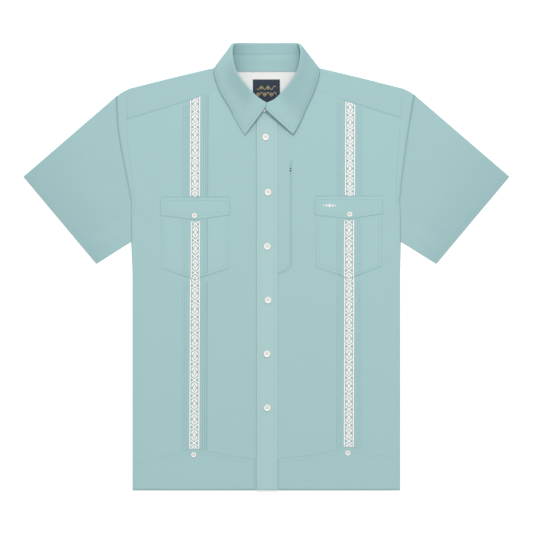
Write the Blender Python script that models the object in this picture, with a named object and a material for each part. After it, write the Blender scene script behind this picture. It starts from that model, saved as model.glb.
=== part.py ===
"""Guayabera shirt, laid flat on its back, buttoned, collar turned down.

Frame: metres, +X to the right of someone looking down on the shirt, +Y towards the collar,
+Z up.  The origin is under the middle of the shirt, on the surface it lies on.  The tables
below are in millimetres, and MM turns them into metres.  "Left" and "right" in the names are
the wearer's: the wearer's left front (+X side) laps over and carries the placket.
"""
import math

import bmesh
import bpy
from mathutils import Vector

MM = 0.001

# ---------------------------------------------------------------- driving sizes, in mm
CLOTH = 1.2              # wall of the body, yoke, sleeve and collar cloth
TRIM = 1.0               # wall of pockets, flaps, bands, placket and hem panels
SEAM = 0.35              # clearance at a seam and between two layers
LOFT = 1.9               # air between the back and the front where the shirt lies open
SIDE_LOFT = 0.35         # the same along the side seams
HEM_Y = -402.4           # bottom edge
BACK_SEAM_Y = 238.0      # seam between the back panel and the yoke
KINK_Y = 119.0           # where the armhole seam runs into the straight side fold
UNDERARM_Y = 46.0
SIDE_X = 240.8           # half the laid width below the underarm

BACK_Z = CLOTH / 2
FRONT_Z = CLOTH + LOFT + CLOTH / 2          # middle of the front layer
LAYER = CLOTH / 2 + SEAM + TRIM / 2         # from the front's middle to an applied layer's
LAYER_TRIM = TRIM + SEAM                    # from one applied layer to the next

PLACKET_LEFT, PLACKET_RIGHT = -17.8, 20.3
UNDERLAP_X = 19.0                           # edge of the wearer's right front, below the placket
FRONT_COLUMNS = {                           # x of a front's columns from the tucks to its edge
    "right": (-90.0, -68.0, -57.0, -40.0, -20.0, 0.0, UNDERLAP_X),
    "left": (90.0, 68.0, 57.0, 40.0, PLACKET_RIGHT + SEAM),
}
NECK_X = 76.0                               # shoulder neck point
ARM_SEAM_Y = 262.0                          # where the yoke seam meets the armhole seam
BACK_NECK_Y = 351.0

BUTTON_FIRST_Y, BUTTON_PITCH, BUTTON_COUNT = 232.5, 97.5, 6
BUTTON_X, BUTTON_R, BUTTON_T = 2.0, 6.2, 2.4
SMALL_BUTTON_R, SMALL_BUTTON_T = 4.8, 2.0
HEM_BUTTON_Y = -337.0

TUCK_FIRST, TUCK_PITCH, TUCK_COUNT = 12.7, 3.9, 3   # crest distances from the band's middle
TUCK_RISE = 0.5
TUCK_FADE = (-326.0, -316.0)                # tucks run out just above the hem panels
BAND_HALF = 10.0
TUCK_FIELD = TUCK_FIRST + (TUCK_COUNT - 0.5) * TUCK_PITCH   # outer foot of the last tuck
NEAR_SHARES = (0.0, 0.3, 0.65)              # columns between the body's edge and the tucks
CUFF_TOP, CUFF_LOW = (437.3, 162.3), (305.8, 5.2)   # ends of a laid cuff
YOKE_FAN_X = 235.0                          # the yoke's columns fan out to the armhole from here
POCKET_TUCKED_IN = 12.0                     # from the flap's top to the pocket's mouth
LINING_INSET = 9.0                          # from the shoulder fold to the yoke lining
LABEL_HALF, LABEL_Y = 24.3, (292.0, 337.0)
SLIDER_AT, SLIDER_SIZE = (43.4, 174.5), (2.6, 7.0, 1.6)     # x, y; width, length, depth

# armhole seam: distance from the middle at each height, wearer's right (-X) and left (+X)
ARMHOLE = [  # y, right, left
    (46.0, 243.4, 242.0),
    (92.0, 243.5, 241.6),
    (119.0, 243.7, 240.0),
    (162.0, 251.8, 244.4),
    (215.0, 262.1, 251.2),
    (250.0, 267.3, 256.2),
    (262.0, 268.2, 258.2),
    (292.0, 269.8, 263.0),
    (307.4, 270.0, 266.6),
]
YOKE_SEAM = [  # distance from the middle, y
    (68.0, 328.0), (138.0, 299.5), (270.0, 259.5),
]
SHOULDER = [  # distance from the middle, y of the folded edge
    (76.0, 357.2), (96.0, 357.4), (171.0, 339.6), (247.0, 320.4), (260.0, 313.8), (270.0, 305.9),
]
NECKLINE = [  # front neck edge: distance from the middle, y
    (0.0, 280.0), (20.0, 283.5), (40.0, 292.5), (57.0, 307.5), (68.0, 328.0), (74.0, 345.0),
    (76.0, 355.4),
]
HEM_PANEL_TOP_RIGHT = [  # -X side: x, y of the panel's upper edge
    (-240.8, -348.1), (-218.5, -347.0), (-190.0, -341.0), (-160.9, -335.3), (-138.5, -329.2),
    (-129.0, -327.4), (-118.5, -329.2), (-84.2, -335.8), (-54.7, -343.0), (-17.8, -345.4),
]
HEM_PANEL_TOP_LEFT = [  # +X side: x, y
    (20.3, -346.0), (53.3, -341.5), (82.0, -339.6), (110.0, -333.0), (138.0, -325.8),
    (148.1, -324.0), (158.0, -325.8), (200.9, -339.0), (240.8, -340.4),
]
# one row for each side: band, its x at y = 0 and its lean; x0 and x1, the pocket's sides; the
# heights of the flap's top, lower corners and point; the heights of the pocket's lower corners
# and point
SIDES = {
    "right": dict(sign=-1, band=-128.5, lean=0.0042, x0=-189.5, x1=-66.6, flap_top=125.3,
                  flap_side=92.2, flap_point=84.0, corner=-3.6, point=-23.6),
    "left": dict(sign=1, band=149.2, lean=0.0029, x0=88.4, x1=208.4, flap_top=127.1,
                 flap_side=94.0, flap_point=85.6, corner=-0.2, point=-22.2),
}
# collar, one row for each section from the front edge to the middle of the back:
# crown of the roll, free edge, neck seam, and the turn of the section about the roll
COLLAR = [
    # roll x, y, z      free x, y, z         neck x, y, z        turn
    (-0.5, 293.5, 17.5, -43.7, 236.3, 6.4, -0.8, 280.5, 6.9, 0),
    (-12.1, 300.5, 17.8, -50.6, 247.5, 5.9, -20.0, 284.0, 6.7, 0),
    (-24.5, 311.2, 18.2, -59.3, 263.3, 5.7, -36.0, 290.5, 5.9, 0),
    (-38.0, 326.8, 18.6, -69.0, 284.0, 5.7, -54.0, 305.0, 5.6, 0),
    (-53.9, 350.0, 18.6, -85.0, 314.5, 5.7, -66.5, 326.5, 5.6, 4),
    (-59.8, 372.5, 18.0, -94.2, 342.5, 5.7, -72.5, 345.0, 5.7, 12),
    (-60.9, 387.5, 16.0, -94.8, 352.8, 5.9, -72.0, 350.5, 5.5, 38),
    (-58.6, 398.6, 11.5, -92.6, 359.2, 3.1, -68.5, 352.6, 4.8, 90),
    (-52.0, 401.6, 6.6, -82.0, 361.6, 1.3, -60.0, 350.4, 4.2, 150),
    (-30.0, 401.9, 4.7, -42.0, 357.4, 0.7, -36.0, 350.0, 3.9, 176),
    (0.0, 401.7, 4.7, 0.0, 356.2, 0.7, 0.0, 350.0, 3.9, 180),
]
COLLAR_SKEW = [  # y, shift towards +X
    (230.0, 5.6), (285.0, 3.2), (315.0, 1.2), (345.0, 0.6), (388.0, 0.2), (402.0, -0.7),
]
FRONT_EDGE_BOW = {-1: (2.0, 1.0), 1: (12.0, 8.0)}  # how far the leaf's front edges swing over
ROLL_FRONT, ROLL_BACK = 2.0, 3.4            # radius of the roll's turn
LEAF_BOW = 6.4                              # how far the leaf bulges up between edge and roll
STAND_SHARE = 0.34                          # part of the way from roll to neck the leaf takes
LAP_RISE = 2.1                              # the wearer's left collar end rides over the right
STAND_END = {-1: -2.5, 1: 8.0}              # how far the stand's ends run past the middle
COLLAR_BUTTON = (-3.0, 281.6, 11.2)
COLLAR_BUTTON_R, COLLAR_BUTTON_T = 4.4, 1.6
COLLAR_BUTTON_TILT = 30.5

TEAL = (0.37, 0.57, 0.58, 1)
TEAL_DARK = (0.34, 0.54, 0.55, 1)
WHITE = (0.86, 0.87, 0.84, 1)
LINING_WHITE = (0.76, 0.77, 0.75, 1)
NAVY = (0.02, 0.035, 0.07, 1)
METAL = (0.10, 0.11, 0.12, 1)


# ---------------------------------------------------------------- helpers
def clear_scene():
    for obj in list(bpy.data.objects):
        bpy.data.objects.remove(obj, do_unlink=True)


def material(name, colour, roughness=0.85, metallic=0.0):
    mat = bpy.data.materials.new(name)
    mat.use_nodes = True
    shader = mat.node_tree.nodes["Principled BSDF"]
    shader.inputs["Base Color"].default_value = colour
    shader.inputs["Roughness"].default_value = roughness
    shader.inputs["Metallic"].default_value = metallic
    return mat


def table(rows, x, column=1):
    """Straight-line reading of a table whose first column rises."""
    if x <= rows[0][0]:
        return rows[0][column]
    for low, high in zip(rows, rows[1:]):
        if x <= high[0]:
            share = (x - low[0]) / (high[0] - low[0])
            return low[column] + (high[column] - low[column]) * share
    return rows[-1][column]


def smooth(low, high, x):
    t = min(1.0, max(0.0, (x - low) / (high - low)))
    return t * t * (3 - 2 * t)


def mix(a, b, t):
    return a + (b - a) * t


def side_x(sign, y):
    """Edge of the body: the side seam below the underarm, the armhole seam above it."""
    if y < UNDERARM_Y:
        return sign * SIDE_X
    return sign * table(ARMHOLE, y, 1 if sign < 0 else 2)


def front_z(x, y):
    """Middle of the front layer: it comes down to the back along the side seams."""
    inside = smooth(0, 35, SIDE_X - abs(x))
    above = smooth(UNDERARM_Y, KINK_Y, y)
    return FRONT_Z - (LOFT - SIDE_LOFT) * (1 - inside) * (1 - above)


def tucks(side, x, y):
    """Rise of the three stitched pintucks on each side of a band."""
    offset = abs(x - band_x(side, y))
    fade = smooth(TUCK_FADE[0], TUCK_FADE[1], y)
    for k in range(TUCK_COUNT):
        reach = abs(offset - TUCK_FIRST - k * TUCK_PITCH)
        if reach < TUCK_PITCH / 2:
            return TUCK_RISE * fade * (1 - reach / (TUCK_PITCH / 2))
    return 0.0


def band_x(side, y):
    return SIDES[side]["band"] + SIDES[side]["lean"] * y


def tuck_columns():
    """Offsets from the band's middle where the tucks have feet and crests."""
    half = TUCK_PITCH / 2
    one_side = [TUCK_FIRST - half + half * k for k in range(2 * TUCK_COUNT + 1)]
    return [-x for x in reversed(one_side)] + one_side


def grid_object(name, grid, mat, thickness, closed=False, keep=None):
    """A wall of cloth from rows of middle points, thickened evenly on both faces."""
    count = len(grid[0])
    points = [Vector(p) * MM for row in grid for p in row]
    faces = []
    for i in range(len(grid) - 1):
        for j in range(count if closed else count - 1):
            if keep and not keep(i, j):
                continue
            k = (j + 1) % count
            faces.append((i * count + j, i * count + k, (i + 1) * count + k, (i + 1) * count + j))
    mesh = bpy.data.meshes.new(name)
    mesh.from_pydata(points, [], faces)
    mesh.validate()
    mesh.materials.append(mat)
    obj = bpy.data.objects.new(name, mesh)
    bpy.context.collection.objects.link(obj)
    drop_loose(mesh)
    wall = obj.modifiers.new("Wall", "SOLIDIFY")
    wall.thickness = thickness * MM
    wall.offset = 0.0
    wall.use_rim = True
    return obj


def drop_loose(mesh):
    """Points that no face uses are left out."""
    bm = bmesh.new()
    bm.from_mesh(mesh)
    loose = [v for v in bm.verts if not v.link_faces]
    bmesh.ops.delete(bm, geom=loose, context="VERTS")
    bmesh.ops.recalc_face_normals(bm, faces=bm.faces)
    bm.to_mesh(mesh)
    bm.free()


def turned(name, profile, segments, centre, mat):
    """A closed turned piece: rings of (radius, height), with flat ends."""
    points, faces = [], []
    for radius, height in profile:
        for k in range(segments):
            a = 2 * math.pi * k / segments
            points.append(Vector((centre[0] + radius * math.cos(a), centre[1] + radius * math.sin(a),
                                  centre[2] + height)) * MM)
    rings = len(profile)
    for r in range(rings - 1):
        for k in range(segments):
            n = (k + 1) % segments
            faces.append((r * segments + k, r * segments + n, (r + 1) * segments + n,
                          (r + 1) * segments + k))
    faces.append(tuple(reversed(range(segments))))
    faces.append(tuple((rings - 1) * segments + k for k in range(segments)))
    mesh = bpy.data.meshes.new(name)
    mesh.from_pydata(points, [], faces)
    mesh.materials.append(mat)
    obj = bpy.data.objects.new(name, mesh)
    bpy.context.collection.objects.link(obj)
    return obj


# ---------------------------------------------------------------- body
def body_rows():
    """Heights on the side edge: the straight fold's, then the armhole seam's."""
    low = [HEM_Y, -350.0, TUCK_FADE[0], TUCK_FADE[1], -215.0, -105.0, -10.0, UNDERARM_Y]
    return low, [row[0] for row in ARMHOLE[1:]]


def front_top(x):
    """Upper edge of a front: the neck edge in the middle, the yoke seam outside it."""
    x = abs(x)
    return table(NECKLINE, x) if x < YOKE_SEAM[0][0] else table(YOKE_SEAM, x)


def near_x(side, y, share):
    """A share of the way from the body's edge to the foot of the first tuck."""
    sign = SIDES[side]["sign"]
    foot = band_x(side, y) + sign * (TUCK_FIRST + (TUCK_COUNT - 0.5) * TUCK_PITCH)
    return mix(side_x(sign, y), foot, share)


def make_front(side, mat):
    """Front panel: columns run from the side, through the tucks, to the front edge."""
    sign, band = SIDES[side]["sign"], SIDES[side]["band"]
    low, armhole = body_rows()
    side_top = table(YOKE_SEAM, abs(side_x(sign, ARM_SEAM_Y)))
    rows = low + [y for y in armhole if y < side_top - 4] + [side_top]
    columns = [("side", share) for share in NEAR_SHARES]
    columns += [("tuck", -sign * offset) for offset in tuck_columns()]
    columns += [("fixed", x) for x in FRONT_COLUMNS[side]]
    grid = []
    for kind, value in columns:
        column = []
        for y in rows:
            if kind == "side":
                x, top = near_x(side, y, value), front_top(near_x(side, side_top, value))
            elif kind == "tuck":
                x, top = band_x(side, y) + value, front_top(band + value)
            else:
                x, top = value, front_top(value)
            if y > UNDERARM_Y:      # the armhole's rows spread up to the panel's upper edge
                y = mix(UNDERARM_Y, top - SEAM, (y - UNDERARM_Y) / (side_top - UNDERARM_Y))
                if kind == "tuck":
                    x = band_x(side, y) + value
            column.append((x, y, front_z(x, y) + tucks(side, x, y)))
        grid.append(column)
    return grid_object("front_" + side, grid, mat, CLOTH)


def make_back(mat):
    rows = [HEM_Y, -300.0, -190.0, -80.0, -10.0, UNDERARM_Y]
    rows += [y for y in body_rows()[1] if y < BACK_SEAM_Y - 5] + [BACK_SEAM_Y - SEAM]
    shares = (0.0, 0.2, 0.5, 0.8, 1.0)
    grid = [[(mix(side_x(-1, y), side_x(1, y), s), y, BACK_Z) for s in shares] for y in rows]
    return grid_object("back_panel", grid, mat, CLOTH)


def neck_edge_x(y):
    """Distance from the middle of the front neck edge at a height."""
    return table([(row[1], row[0]) for row in NECKLINE], y)


def make_yoke(mat):
    """One piece: the back part, turned over each shoulder fold to the front yoke seam."""
    radius = (CLOTH + LOFT) / 2
    inset = radius + CLOTH / 2
    back_shares, front_shares = (0.0, 0.12, 0.55, 1.0), (0.0, 0.33, 0.7, 1.0)
    outer = [("arm", 1.0), ("arm", 0.62), ("arm", 0.3), ("fixed", 220.0), ("fixed", 171.0),
             ("fixed", 138.0), ("fixed", 96.0), ("neck", NECK_X)]
    columns = [(-1, kind, value) for kind, value in outer]
    columns += [(1, "back", x) for x in (-50.0, -25.0, 0.0, 25.0, 50.0)]
    columns += [(1, kind, value) for kind, value in reversed(outer)]
    grid = []
    for sign, kind, value in columns:
        def x_at(y):
            if kind == "arm":
                return sign * mix(YOKE_FAN_X, abs(side_x(sign, y)) - SEAM, value)
            if kind == "neck" and y > centre:
                return sign * value
            return sign * (neck_edge_x(y) + 0.3) if kind == "neck" else sign * value
        centre = BACK_NECK_Y
        if kind != "back":
            centre = table(SHOULDER, abs(x_at(SHOULDER[-1][1]))) - inset
        back = [mix(BACK_SEAM_Y, centre, share) for share in back_shares]
        seam_x = YOKE_SEAM[0][0] if kind == "neck" else abs(x_at(ARM_SEAM_Y))
        seam = table(YOKE_SEAM, seam_x) + SEAM
        column = [(sign * value if kind == "neck" else x_at(y), y, BACK_Z) for y in back]
        for angle in (-45, 0, 45):
            a = math.radians(angle)
            x = sign * value if kind == "neck" else x_at(centre)
            column.append((x, centre + radius * math.cos(a), BACK_Z + radius * (1 + math.sin(a))))
        for share in front_shares:
            y = mix(centre, seam, share)
            column.append((x_at(y), y, FRONT_Z))
        grid.append(column)
    neck_first, neck_last = len(outer) - 1, len(columns) - len(outer)

    def keep(i, j):
        return j < len(back_shares) - 1 or i < neck_first or i >= neck_last
    return grid_object("yoke", grid, mat, CLOTH, keep=keep)


def make_lining(mat):
    """Inner yoke, on the back part of the yoke, clear of the shoulder folds."""
    z = CLOTH + SEAM + TRIM / 2
    shares = (0.0, 0.4, 0.75, 1.0)
    grid = []
    for x in (-236, -171, -96, -60, 0, 60, 96, 171, 236):
        top = BACK_NECK_Y - SEAM if abs(x) < NECK_X else table(SHOULDER, abs(x)) - LINING_INSET
        grid.append([(x, mix(BACK_SEAM_Y, top, s), z) for s in shares])
    return grid_object("yoke_lining", grid, mat, TRIM)


def make_label(mat):
    z = CLOTH + SEAM + TRIM + SEAM + TRIM / 2
    grid = [[(x, y, z) for y in LABEL_Y] for x in (-LABEL_HALF, LABEL_HALF)]
    return grid_object("neck_label", grid, mat, TRIM)


def make_sleeve(side, mat):
    """A flattened tube from the armhole seam to the cuff, folded along the top."""
    sign = SIDES[side]["sign"]
    radius = (CLOTH + LOFT) / 2
    inset = radius + CLOTH / 2
    arm_rows = [row[0] for row in reversed(ARMHOLE)]
    arm_rows[-1] = UNDERARM_Y + 0.4
    shares = [(arm_rows[0] - y) / (arm_rows[0] - arm_rows[-1]) for y in arm_rows]
    arm_line = [(abs(side_x(sign, y)) + SEAM, y) for y in arm_rows]
    cuff_line = [(mix(CUFF_TOP[0], CUFF_LOW[0], s), mix(CUFF_TOP[1], CUFF_LOW[1], s))
                 for s in shares]
    grid = []
    for v in (0.0, 0.1, 0.28, 0.5, 0.72, 0.9, 1.0):
        line = [Vector((mix(a[0], c[0], v), mix(a[1], c[1], v)))
                for a, c in zip(arm_line, cuff_line)]
        top_way = (line[0] - line[1]).normalized()
        low_way = (line[-1] - line[-2]).normalized()
        line[0] = line[0] - top_way * inset
        line[-1] = line[-1] - low_way * inset
        ring = [(p.x, p.y, FRONT_Z) for p in line]
        for point, way, turn in ((line[-1], low_way, 1), (line[0], top_way, -1)):
            for step in (45, 90, 135):
                a = math.radians(step)
                q = point + way * radius * math.sin(a)
                ring.append((q.x, q.y, BACK_Z + radius * (1 + turn * math.cos(a))))
            if turn == 1:
                ring += [(p.x, p.y, BACK_Z) for p in reversed(line)]
        grid.append([(sign * x, y, z) for x, y, z in ring])
    return grid_object("sleeve_" + side, grid, mat, CLOTH, closed=True)


# ---------------------------------------------------------------- collar
def skew(y):
    """The collar lies a little towards the wearer's left, most at its points."""
    return table(COLLAR_SKEW, y)


def collar_section(row, sign, station):
    """Points of one section: the leaf from its free edge over the roll, then the stand."""
    rx, ry, rz, fx, fy, fz, nx, ny, nz, turn = row
    # the wearer's left end rides over the right one at the centre front
    lift = LAP_RISE * (1 - smooth(0, 3, station)) if sign > 0 else 0.0
    roll, free, neck = Vector((rx, ry, rz)), Vector((fx, fy, fz)), Vector((nx, ny, nz))
    along = (roll - free)
    along.z = 0
    along.normalize()
    outward = Vector((-along.y, along.x, 0))
    if outward.x > 0:
        outward = -outward
    a = math.radians(turn)
    out = Vector((0, 0, 1)) * math.cos(a) + outward * math.sin(a)
    radius = mix(ROLL_FRONT, ROLL_BACK, smooth(5, 8, station))
    centre = roll - along * radius
    leaf = [free.lerp(centre + out * radius, t) for t in (0.0, 0.3, 0.65, 1.0)]
    # where it lies face up, the leaf rises in a soft curve from its free edge to the roll
    for k, t in ((1, 0.3), (2, 0.65)):
        leaf[k] = leaf[k] + out * (LEAF_BOW * max(0.0, out.z) * t * (1 - t))
    if station == 0:
        leaf[1].x += FRONT_EDGE_BOW[sign][1]
        leaf[2].x += FRONT_EDGE_BOW[sign][0]
    for step in (45, 90, 135):
        b = math.radians(step)
        leaf.append(centre + along * radius * math.sin(b) + out * radius * math.cos(b))
    inner = centre - out * radius
    leaf.append(inner)
    leaf.append(inner.lerp(neck, STAND_SHARE))
    stand = [inner.lerp(neck, STAND_SHARE + 0.03), inner.lerp(neck, 0.7), neck.copy()]
    if station == 0:
        stand[0] = inner.lerp(neck, STAND_SHARE + 0.2)
        stand[1] = inner.lerp(neck, 0.8)
        for p in stand:
            p.x += STAND_END[sign]
    for part in (leaf, stand):
        for p in part:
            p.z += lift
            p.x = sign * -p.x + skew(p.y)
    return leaf, stand


def make_collar(mat):
    sections = [collar_section(row, -1, k) for k, row in enumerate(COLLAR)]
    other = [collar_section(row, 1, k) for k, row in enumerate(COLLAR[:-1])]
    sections = sections + other[::-1]
    leaf = grid_object("collar_leaf", [s[0] for s in sections], mat, CLOTH)
    stand = grid_object("collar_stand", [s[1] for s in sections], mat, CLOTH)
    return leaf, stand


# ---------------------------------------------------------------- applied pieces
def applied(name, columns, rows_at, mat, level, side=None, ridges=False, lift=0.0):
    """A piece on a front: it follows the front's middle, moved out by its layers."""
    grid = []
    for x_at in columns:
        column = []
        for y in rows_at(x_at(0.0)):
            x = x_at(y)
            z = front_z(x, y) + LAYER + LAYER_TRIM * (level - 1) + lift
            if ridges:
                z += tucks(side, x, y)
            column.append((x, y, z))
        grid.append(column)
    return grid_object(name, grid, mat, TRIM)


def make_placket(mat):
    rows = [HEM_Y, -350.0, -215.0, -105.0, -10.0, UNDERARM_Y, KINK_Y, 200.0]
    columns = [lambda y, x=x: x for x in (PLACKET_LEFT, 0.0, PLACKET_RIGHT)]
    return applied("placket", columns, lambda x: rows + [front_top(x)], mat, 1)


def pointed(s, point, corner, x):
    """Height of a pointed lower edge, lowest in the middle of the band."""
    half = (s["x1"] - s["x0"]) / 2
    return mix(s[point], s[corner], min(1.0, abs(x - s["band"]) / half))


def hem_panel_top(side, x):
    return table(HEM_PANEL_TOP_RIGHT if side == "right" else HEM_PANEL_TOP_LEFT, x)


def make_pocket(side, mat):
    s = SIDES[side]
    columns = [lambda y: s["x0"], lambda y: mix(s["x0"], s["band"] - TUCK_FIELD, 0.5)]
    columns += [lambda y, o=o: band_x(side, y) + o for o in tuck_columns()]
    columns += [lambda y: mix(s["x1"], s["band"] + TUCK_FIELD, 0.5), lambda y: s["x1"]]

    def rows(x):
        return [mix(pointed(s, "point", "corner", x), s["flap_top"] - POCKET_TUCKED_IN, t)
                for t in (0.0, 0.12, 0.5, 1.0)]
    return applied("pocket_" + side, columns, rows, mat, 1, side, ridges=True)


def make_flap(side, mat):
    s = SIDES[side]
    columns = [lambda y, x=x: x for x in
               (s["x0"] - 0.6, s["x0"] + 30.0, s["band"], s["x1"] - 30.0, s["x1"] + 0.6)]

    def rows(x):
        low = pointed(s, "flap_point", "flap_side", x)
        return [mix(low, s["flap_top"], t) for t in (0.0, 0.5, 1.0)]
    return applied("pocket_flap_" + side, columns, rows, mat, 2, lift=TUCK_RISE)


def make_band(name, side, bottom, top, mat, level, lift=0.0):
    """One piece of a trim band; bottom and top are functions of x."""
    columns = [lambda y, o=o: band_x(side, y) + o for o in (-BAND_HALF, 0.0, BAND_HALF)]
    shares = (0.0, 0.25, 0.5, 0.75, 1.0)
    return applied(name, columns, lambda x: [mix(bottom(x), top(x), t) for t in shares],
                   mat, level, lift=lift)


def make_bands(side, mat):
    """Chest band to the flap, pocket band below the flap, skirt band to the hem panel."""
    s = SIDES[side]

    def pocket_edge(x):
        return pointed(s, "point", "corner", x)
    make_band(f"band_{side}_chest", side, lambda x: s["flap_top"] + SEAM,
              lambda x: front_top(x) - 1.0, mat, 1)
    make_band(f"band_{side}_pocket", side, lambda x: pocket_edge(x) + 0.2,
              lambda x: pointed(s, "flap_point", "flap_side", x) - SEAM, mat, 2)
    make_band(f"band_{side}_skirt", side, lambda x: hem_panel_top(side, x) + SEAM,
              lambda x: pocket_edge(x) - SEAM, mat, 1)


def make_hem_panel(side, mat):
    sign = SIDES[side]["sign"]
    edge = PLACKET_LEFT - SEAM if side == "right" else PLACKET_RIGHT + SEAM
    middle = band_x(side, HEM_BUTTON_Y)
    xs = [near_x(side, HEM_Y, share) for share in NEAR_SHARES + (1.0,)]
    xs += [middle + sign * d for d in (BAND_HALF, 0.0, -BAND_HALF)]
    xs += [mix(middle, edge, 0.4), mix(middle, edge, 0.7), edge]
    columns = [lambda y, x=x: x for x in xs]
    return applied("hem_panel_" + side, columns,
                   lambda x: [mix(HEM_Y, hem_panel_top(side, x), t) for t in (0.0, 0.5, 0.86, 1.0)],
                   mat, 1)


def make_button(name, x, y, level, radius, depth, mat, lift=0.0):
    """A round button with a raised rim, resting on the cloth below it."""
    base = front_z(x, y) + LAYER + LAYER_TRIM * (level - 1) + TRIM / 2 + SEAM + lift
    profile = [(radius * 0.82, 0.0), (radius, depth * 0.4), (radius * 0.94, depth),
               (radius * 0.72, depth), (radius * 0.6, depth * 0.72)]
    return turned(name, profile, 16, (x, y, base), mat)


def make_buttons(mat):
    for k in range(BUTTON_COUNT):
        make_button(f"placket_button_{k + 1}", BUTTON_X, BUTTON_FIRST_Y - k * BUTTON_PITCH, 1,
                    BUTTON_R, BUTTON_T, mat)
    for side in SIDES:
        s = SIDES[side]
        make_button(f"flap_button_{side}", s["band"] + 0.4 * s["sign"], s["flap_side"] + 1.4, 2,
                    SMALL_BUTTON_R, SMALL_BUTTON_T, mat, lift=TUCK_RISE)
        x = band_x(side, HEM_BUTTON_Y) - 1.0
        make_button(f"hem_button_{side}", x, hem_panel_top(side, x) - 10.5, 1,
                    SMALL_BUTTON_R, SMALL_BUTTON_T, mat)


def make_collar_button(mat):
    """The button on the lapping end of the stand, tilted with it."""
    radius, depth = COLLAR_BUTTON_R, COLLAR_BUTTON_T
    profile = [(radius * 0.82, 0.0), (radius, depth * 0.4), (radius * 0.94, depth)]
    button = turned("collar_button", profile, 16, (0, 0, 0), mat)
    a = math.radians(COLLAR_BUTTON_TILT)
    for v in button.data.vertices:
        x, y, z = v.co / MM
        y, z = y * math.cos(a) - z * math.sin(a), y * math.sin(a) + z * math.cos(a)
        v.co = (Vector((x, y, z)) + Vector(COLLAR_BUTTON)) * MM
    return button


def make_zip_slider(mat):
    """Small slider of the hidden vertical pocket, a bevelled block on the left front."""
    (x, y), (width, length, depth) = SLIDER_AT, SLIDER_SIZE
    base = front_z(x, y) + CLOTH / 2 + SEAM
    profile = [(0.9, 0.0), (1.0, depth * 0.3), (1.0, depth * 0.7), (0.8, depth)]
    slider = turned("zip_slider", profile, 12, (0, 0, 0), mat)
    for v in slider.data.vertices:
        v.co = Vector((x + v.co.x / MM * width / 2, y + v.co.y / MM * length / 2,
                       base + v.co.z / MM)) * MM
    return slider


def main():
    clear_scene()
    cloth = material("Teal cloth", TEAL)
    trim = material("Teal trim cloth", TEAL)
    panel = material("Teal hem panel", TEAL_DARK)
    white = material("White band", WHITE)
    lining = material("Off-white lining", LINING_WHITE)
    navy = material("Navy label", NAVY, 0.7)
    shell = material("White button", WHITE, 0.35)
    metal = material("Dark metal", METAL, 0.35, 1.0)
    make_back(cloth)
    make_yoke(cloth)
    make_lining(lining)
    make_label(navy)
    for side in SIDES:
        make_front(side, cloth)
        make_sleeve(side, cloth)
        make_pocket(side, trim)
        make_flap(side, trim)
        make_bands(side, white)
        make_hem_panel(side, panel)
    make_placket(trim)
    make_collar(cloth)
    make_buttons(shell)
    make_collar_button(shell)
    make_zip_slider(metal)


main()
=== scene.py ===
"""Guayabera shirt, laid flat on its back: the finished cloth, stitching, embroidery and buttons.

Lengths are in millimetres in the tables and functions, and MM turns them into metres when a mesh
is made.  +X is the wearer's left, +Y the collar, +Z up out of the front.
"""
import math

import bmesh
import bpy
import numpy as np
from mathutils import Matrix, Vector


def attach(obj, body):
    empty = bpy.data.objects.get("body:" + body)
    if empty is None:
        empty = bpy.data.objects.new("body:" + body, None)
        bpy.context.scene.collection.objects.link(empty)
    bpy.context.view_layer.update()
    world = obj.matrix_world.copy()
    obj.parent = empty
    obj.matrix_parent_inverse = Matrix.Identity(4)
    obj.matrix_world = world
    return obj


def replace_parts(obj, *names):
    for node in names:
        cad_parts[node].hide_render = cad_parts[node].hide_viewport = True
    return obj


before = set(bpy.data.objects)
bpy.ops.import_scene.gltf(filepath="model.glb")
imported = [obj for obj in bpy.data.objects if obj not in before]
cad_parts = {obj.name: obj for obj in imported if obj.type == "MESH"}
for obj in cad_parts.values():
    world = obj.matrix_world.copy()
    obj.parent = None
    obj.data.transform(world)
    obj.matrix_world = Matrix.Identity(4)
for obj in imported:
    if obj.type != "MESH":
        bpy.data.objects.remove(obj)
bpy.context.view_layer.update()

MM = 0.001
TAU = 2 * math.pi


# ------------------------------------------------------------------ sizes of the shirt, in mm
def rounded(*rows, reach=8):
    """A table read each millimetre and averaged over reach mm to either side."""
    at, high = np.array(rows).T
    x = np.arange(at[0], at[-1], 1.0)
    y = np.pad(np.interp(x, at, high), reach, "reflect", reflect_type="odd")
    soft = np.convolve(y, np.ones(2 * reach + 1) / (2 * reach + 1), "valid")
    return np.stack([x, soft], 1)[::4]


CLOTH, SEAM, LOFT, SIDE_LOFT = 1.2, 0.35, 1.9, 0.35     # wall, gap at seams, air inside the shirt
FRONT_TOP = CLOTH + LOFT + CLOTH / 2 + CLOTH / 2        # upper face of the fronts
FINE = 0.5                                              # wall of a single layer of the shirting
HEM_Y, BACK_SEAM_Y, KINK_Y, UNDERARM_Y, SIDE_X = -402.4, 238.0, 119.0, 46.0, 240.8
PLACKET_LEFT, PLACKET_RIGHT, UNDERLAP_X = -17.8, 20.3, 19.0
NECK_X, BACK_NECK_Y = 76.0, 351.0
SIDES = {
    "right": dict(sign=-1, band=-128.5, lean=0.0042, x0=-189.5, x1=-66.6, flap_top=125.3,
                  flap_side=92.2, flap_point=84.0, corner=-3.6, point=-23.6, tilt=0.4),
    "left": dict(sign=1, band=149.2, lean=0.0029, x0=88.4, x1=208.4, flap_top=127.1,
                 flap_side=94.0, flap_point=85.6, corner=-0.2, point=-22.2, tilt=1.4),
}
ARMHOLE = np.array([  # y, distance of the seam from the middle: wearer's right, left
    (46.0, 243.4, 242.0), (92.0, 243.5, 241.6), (119.0, 243.7, 240.0), (162.0, 251.8, 244.4),
    (215.0, 262.1, 251.2), (250.0, 267.3, 256.2), (262.0, 268.2, 258.2), (292.0, 269.8, 263.0),
    (307.4, 270.0, 266.6)])
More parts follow.
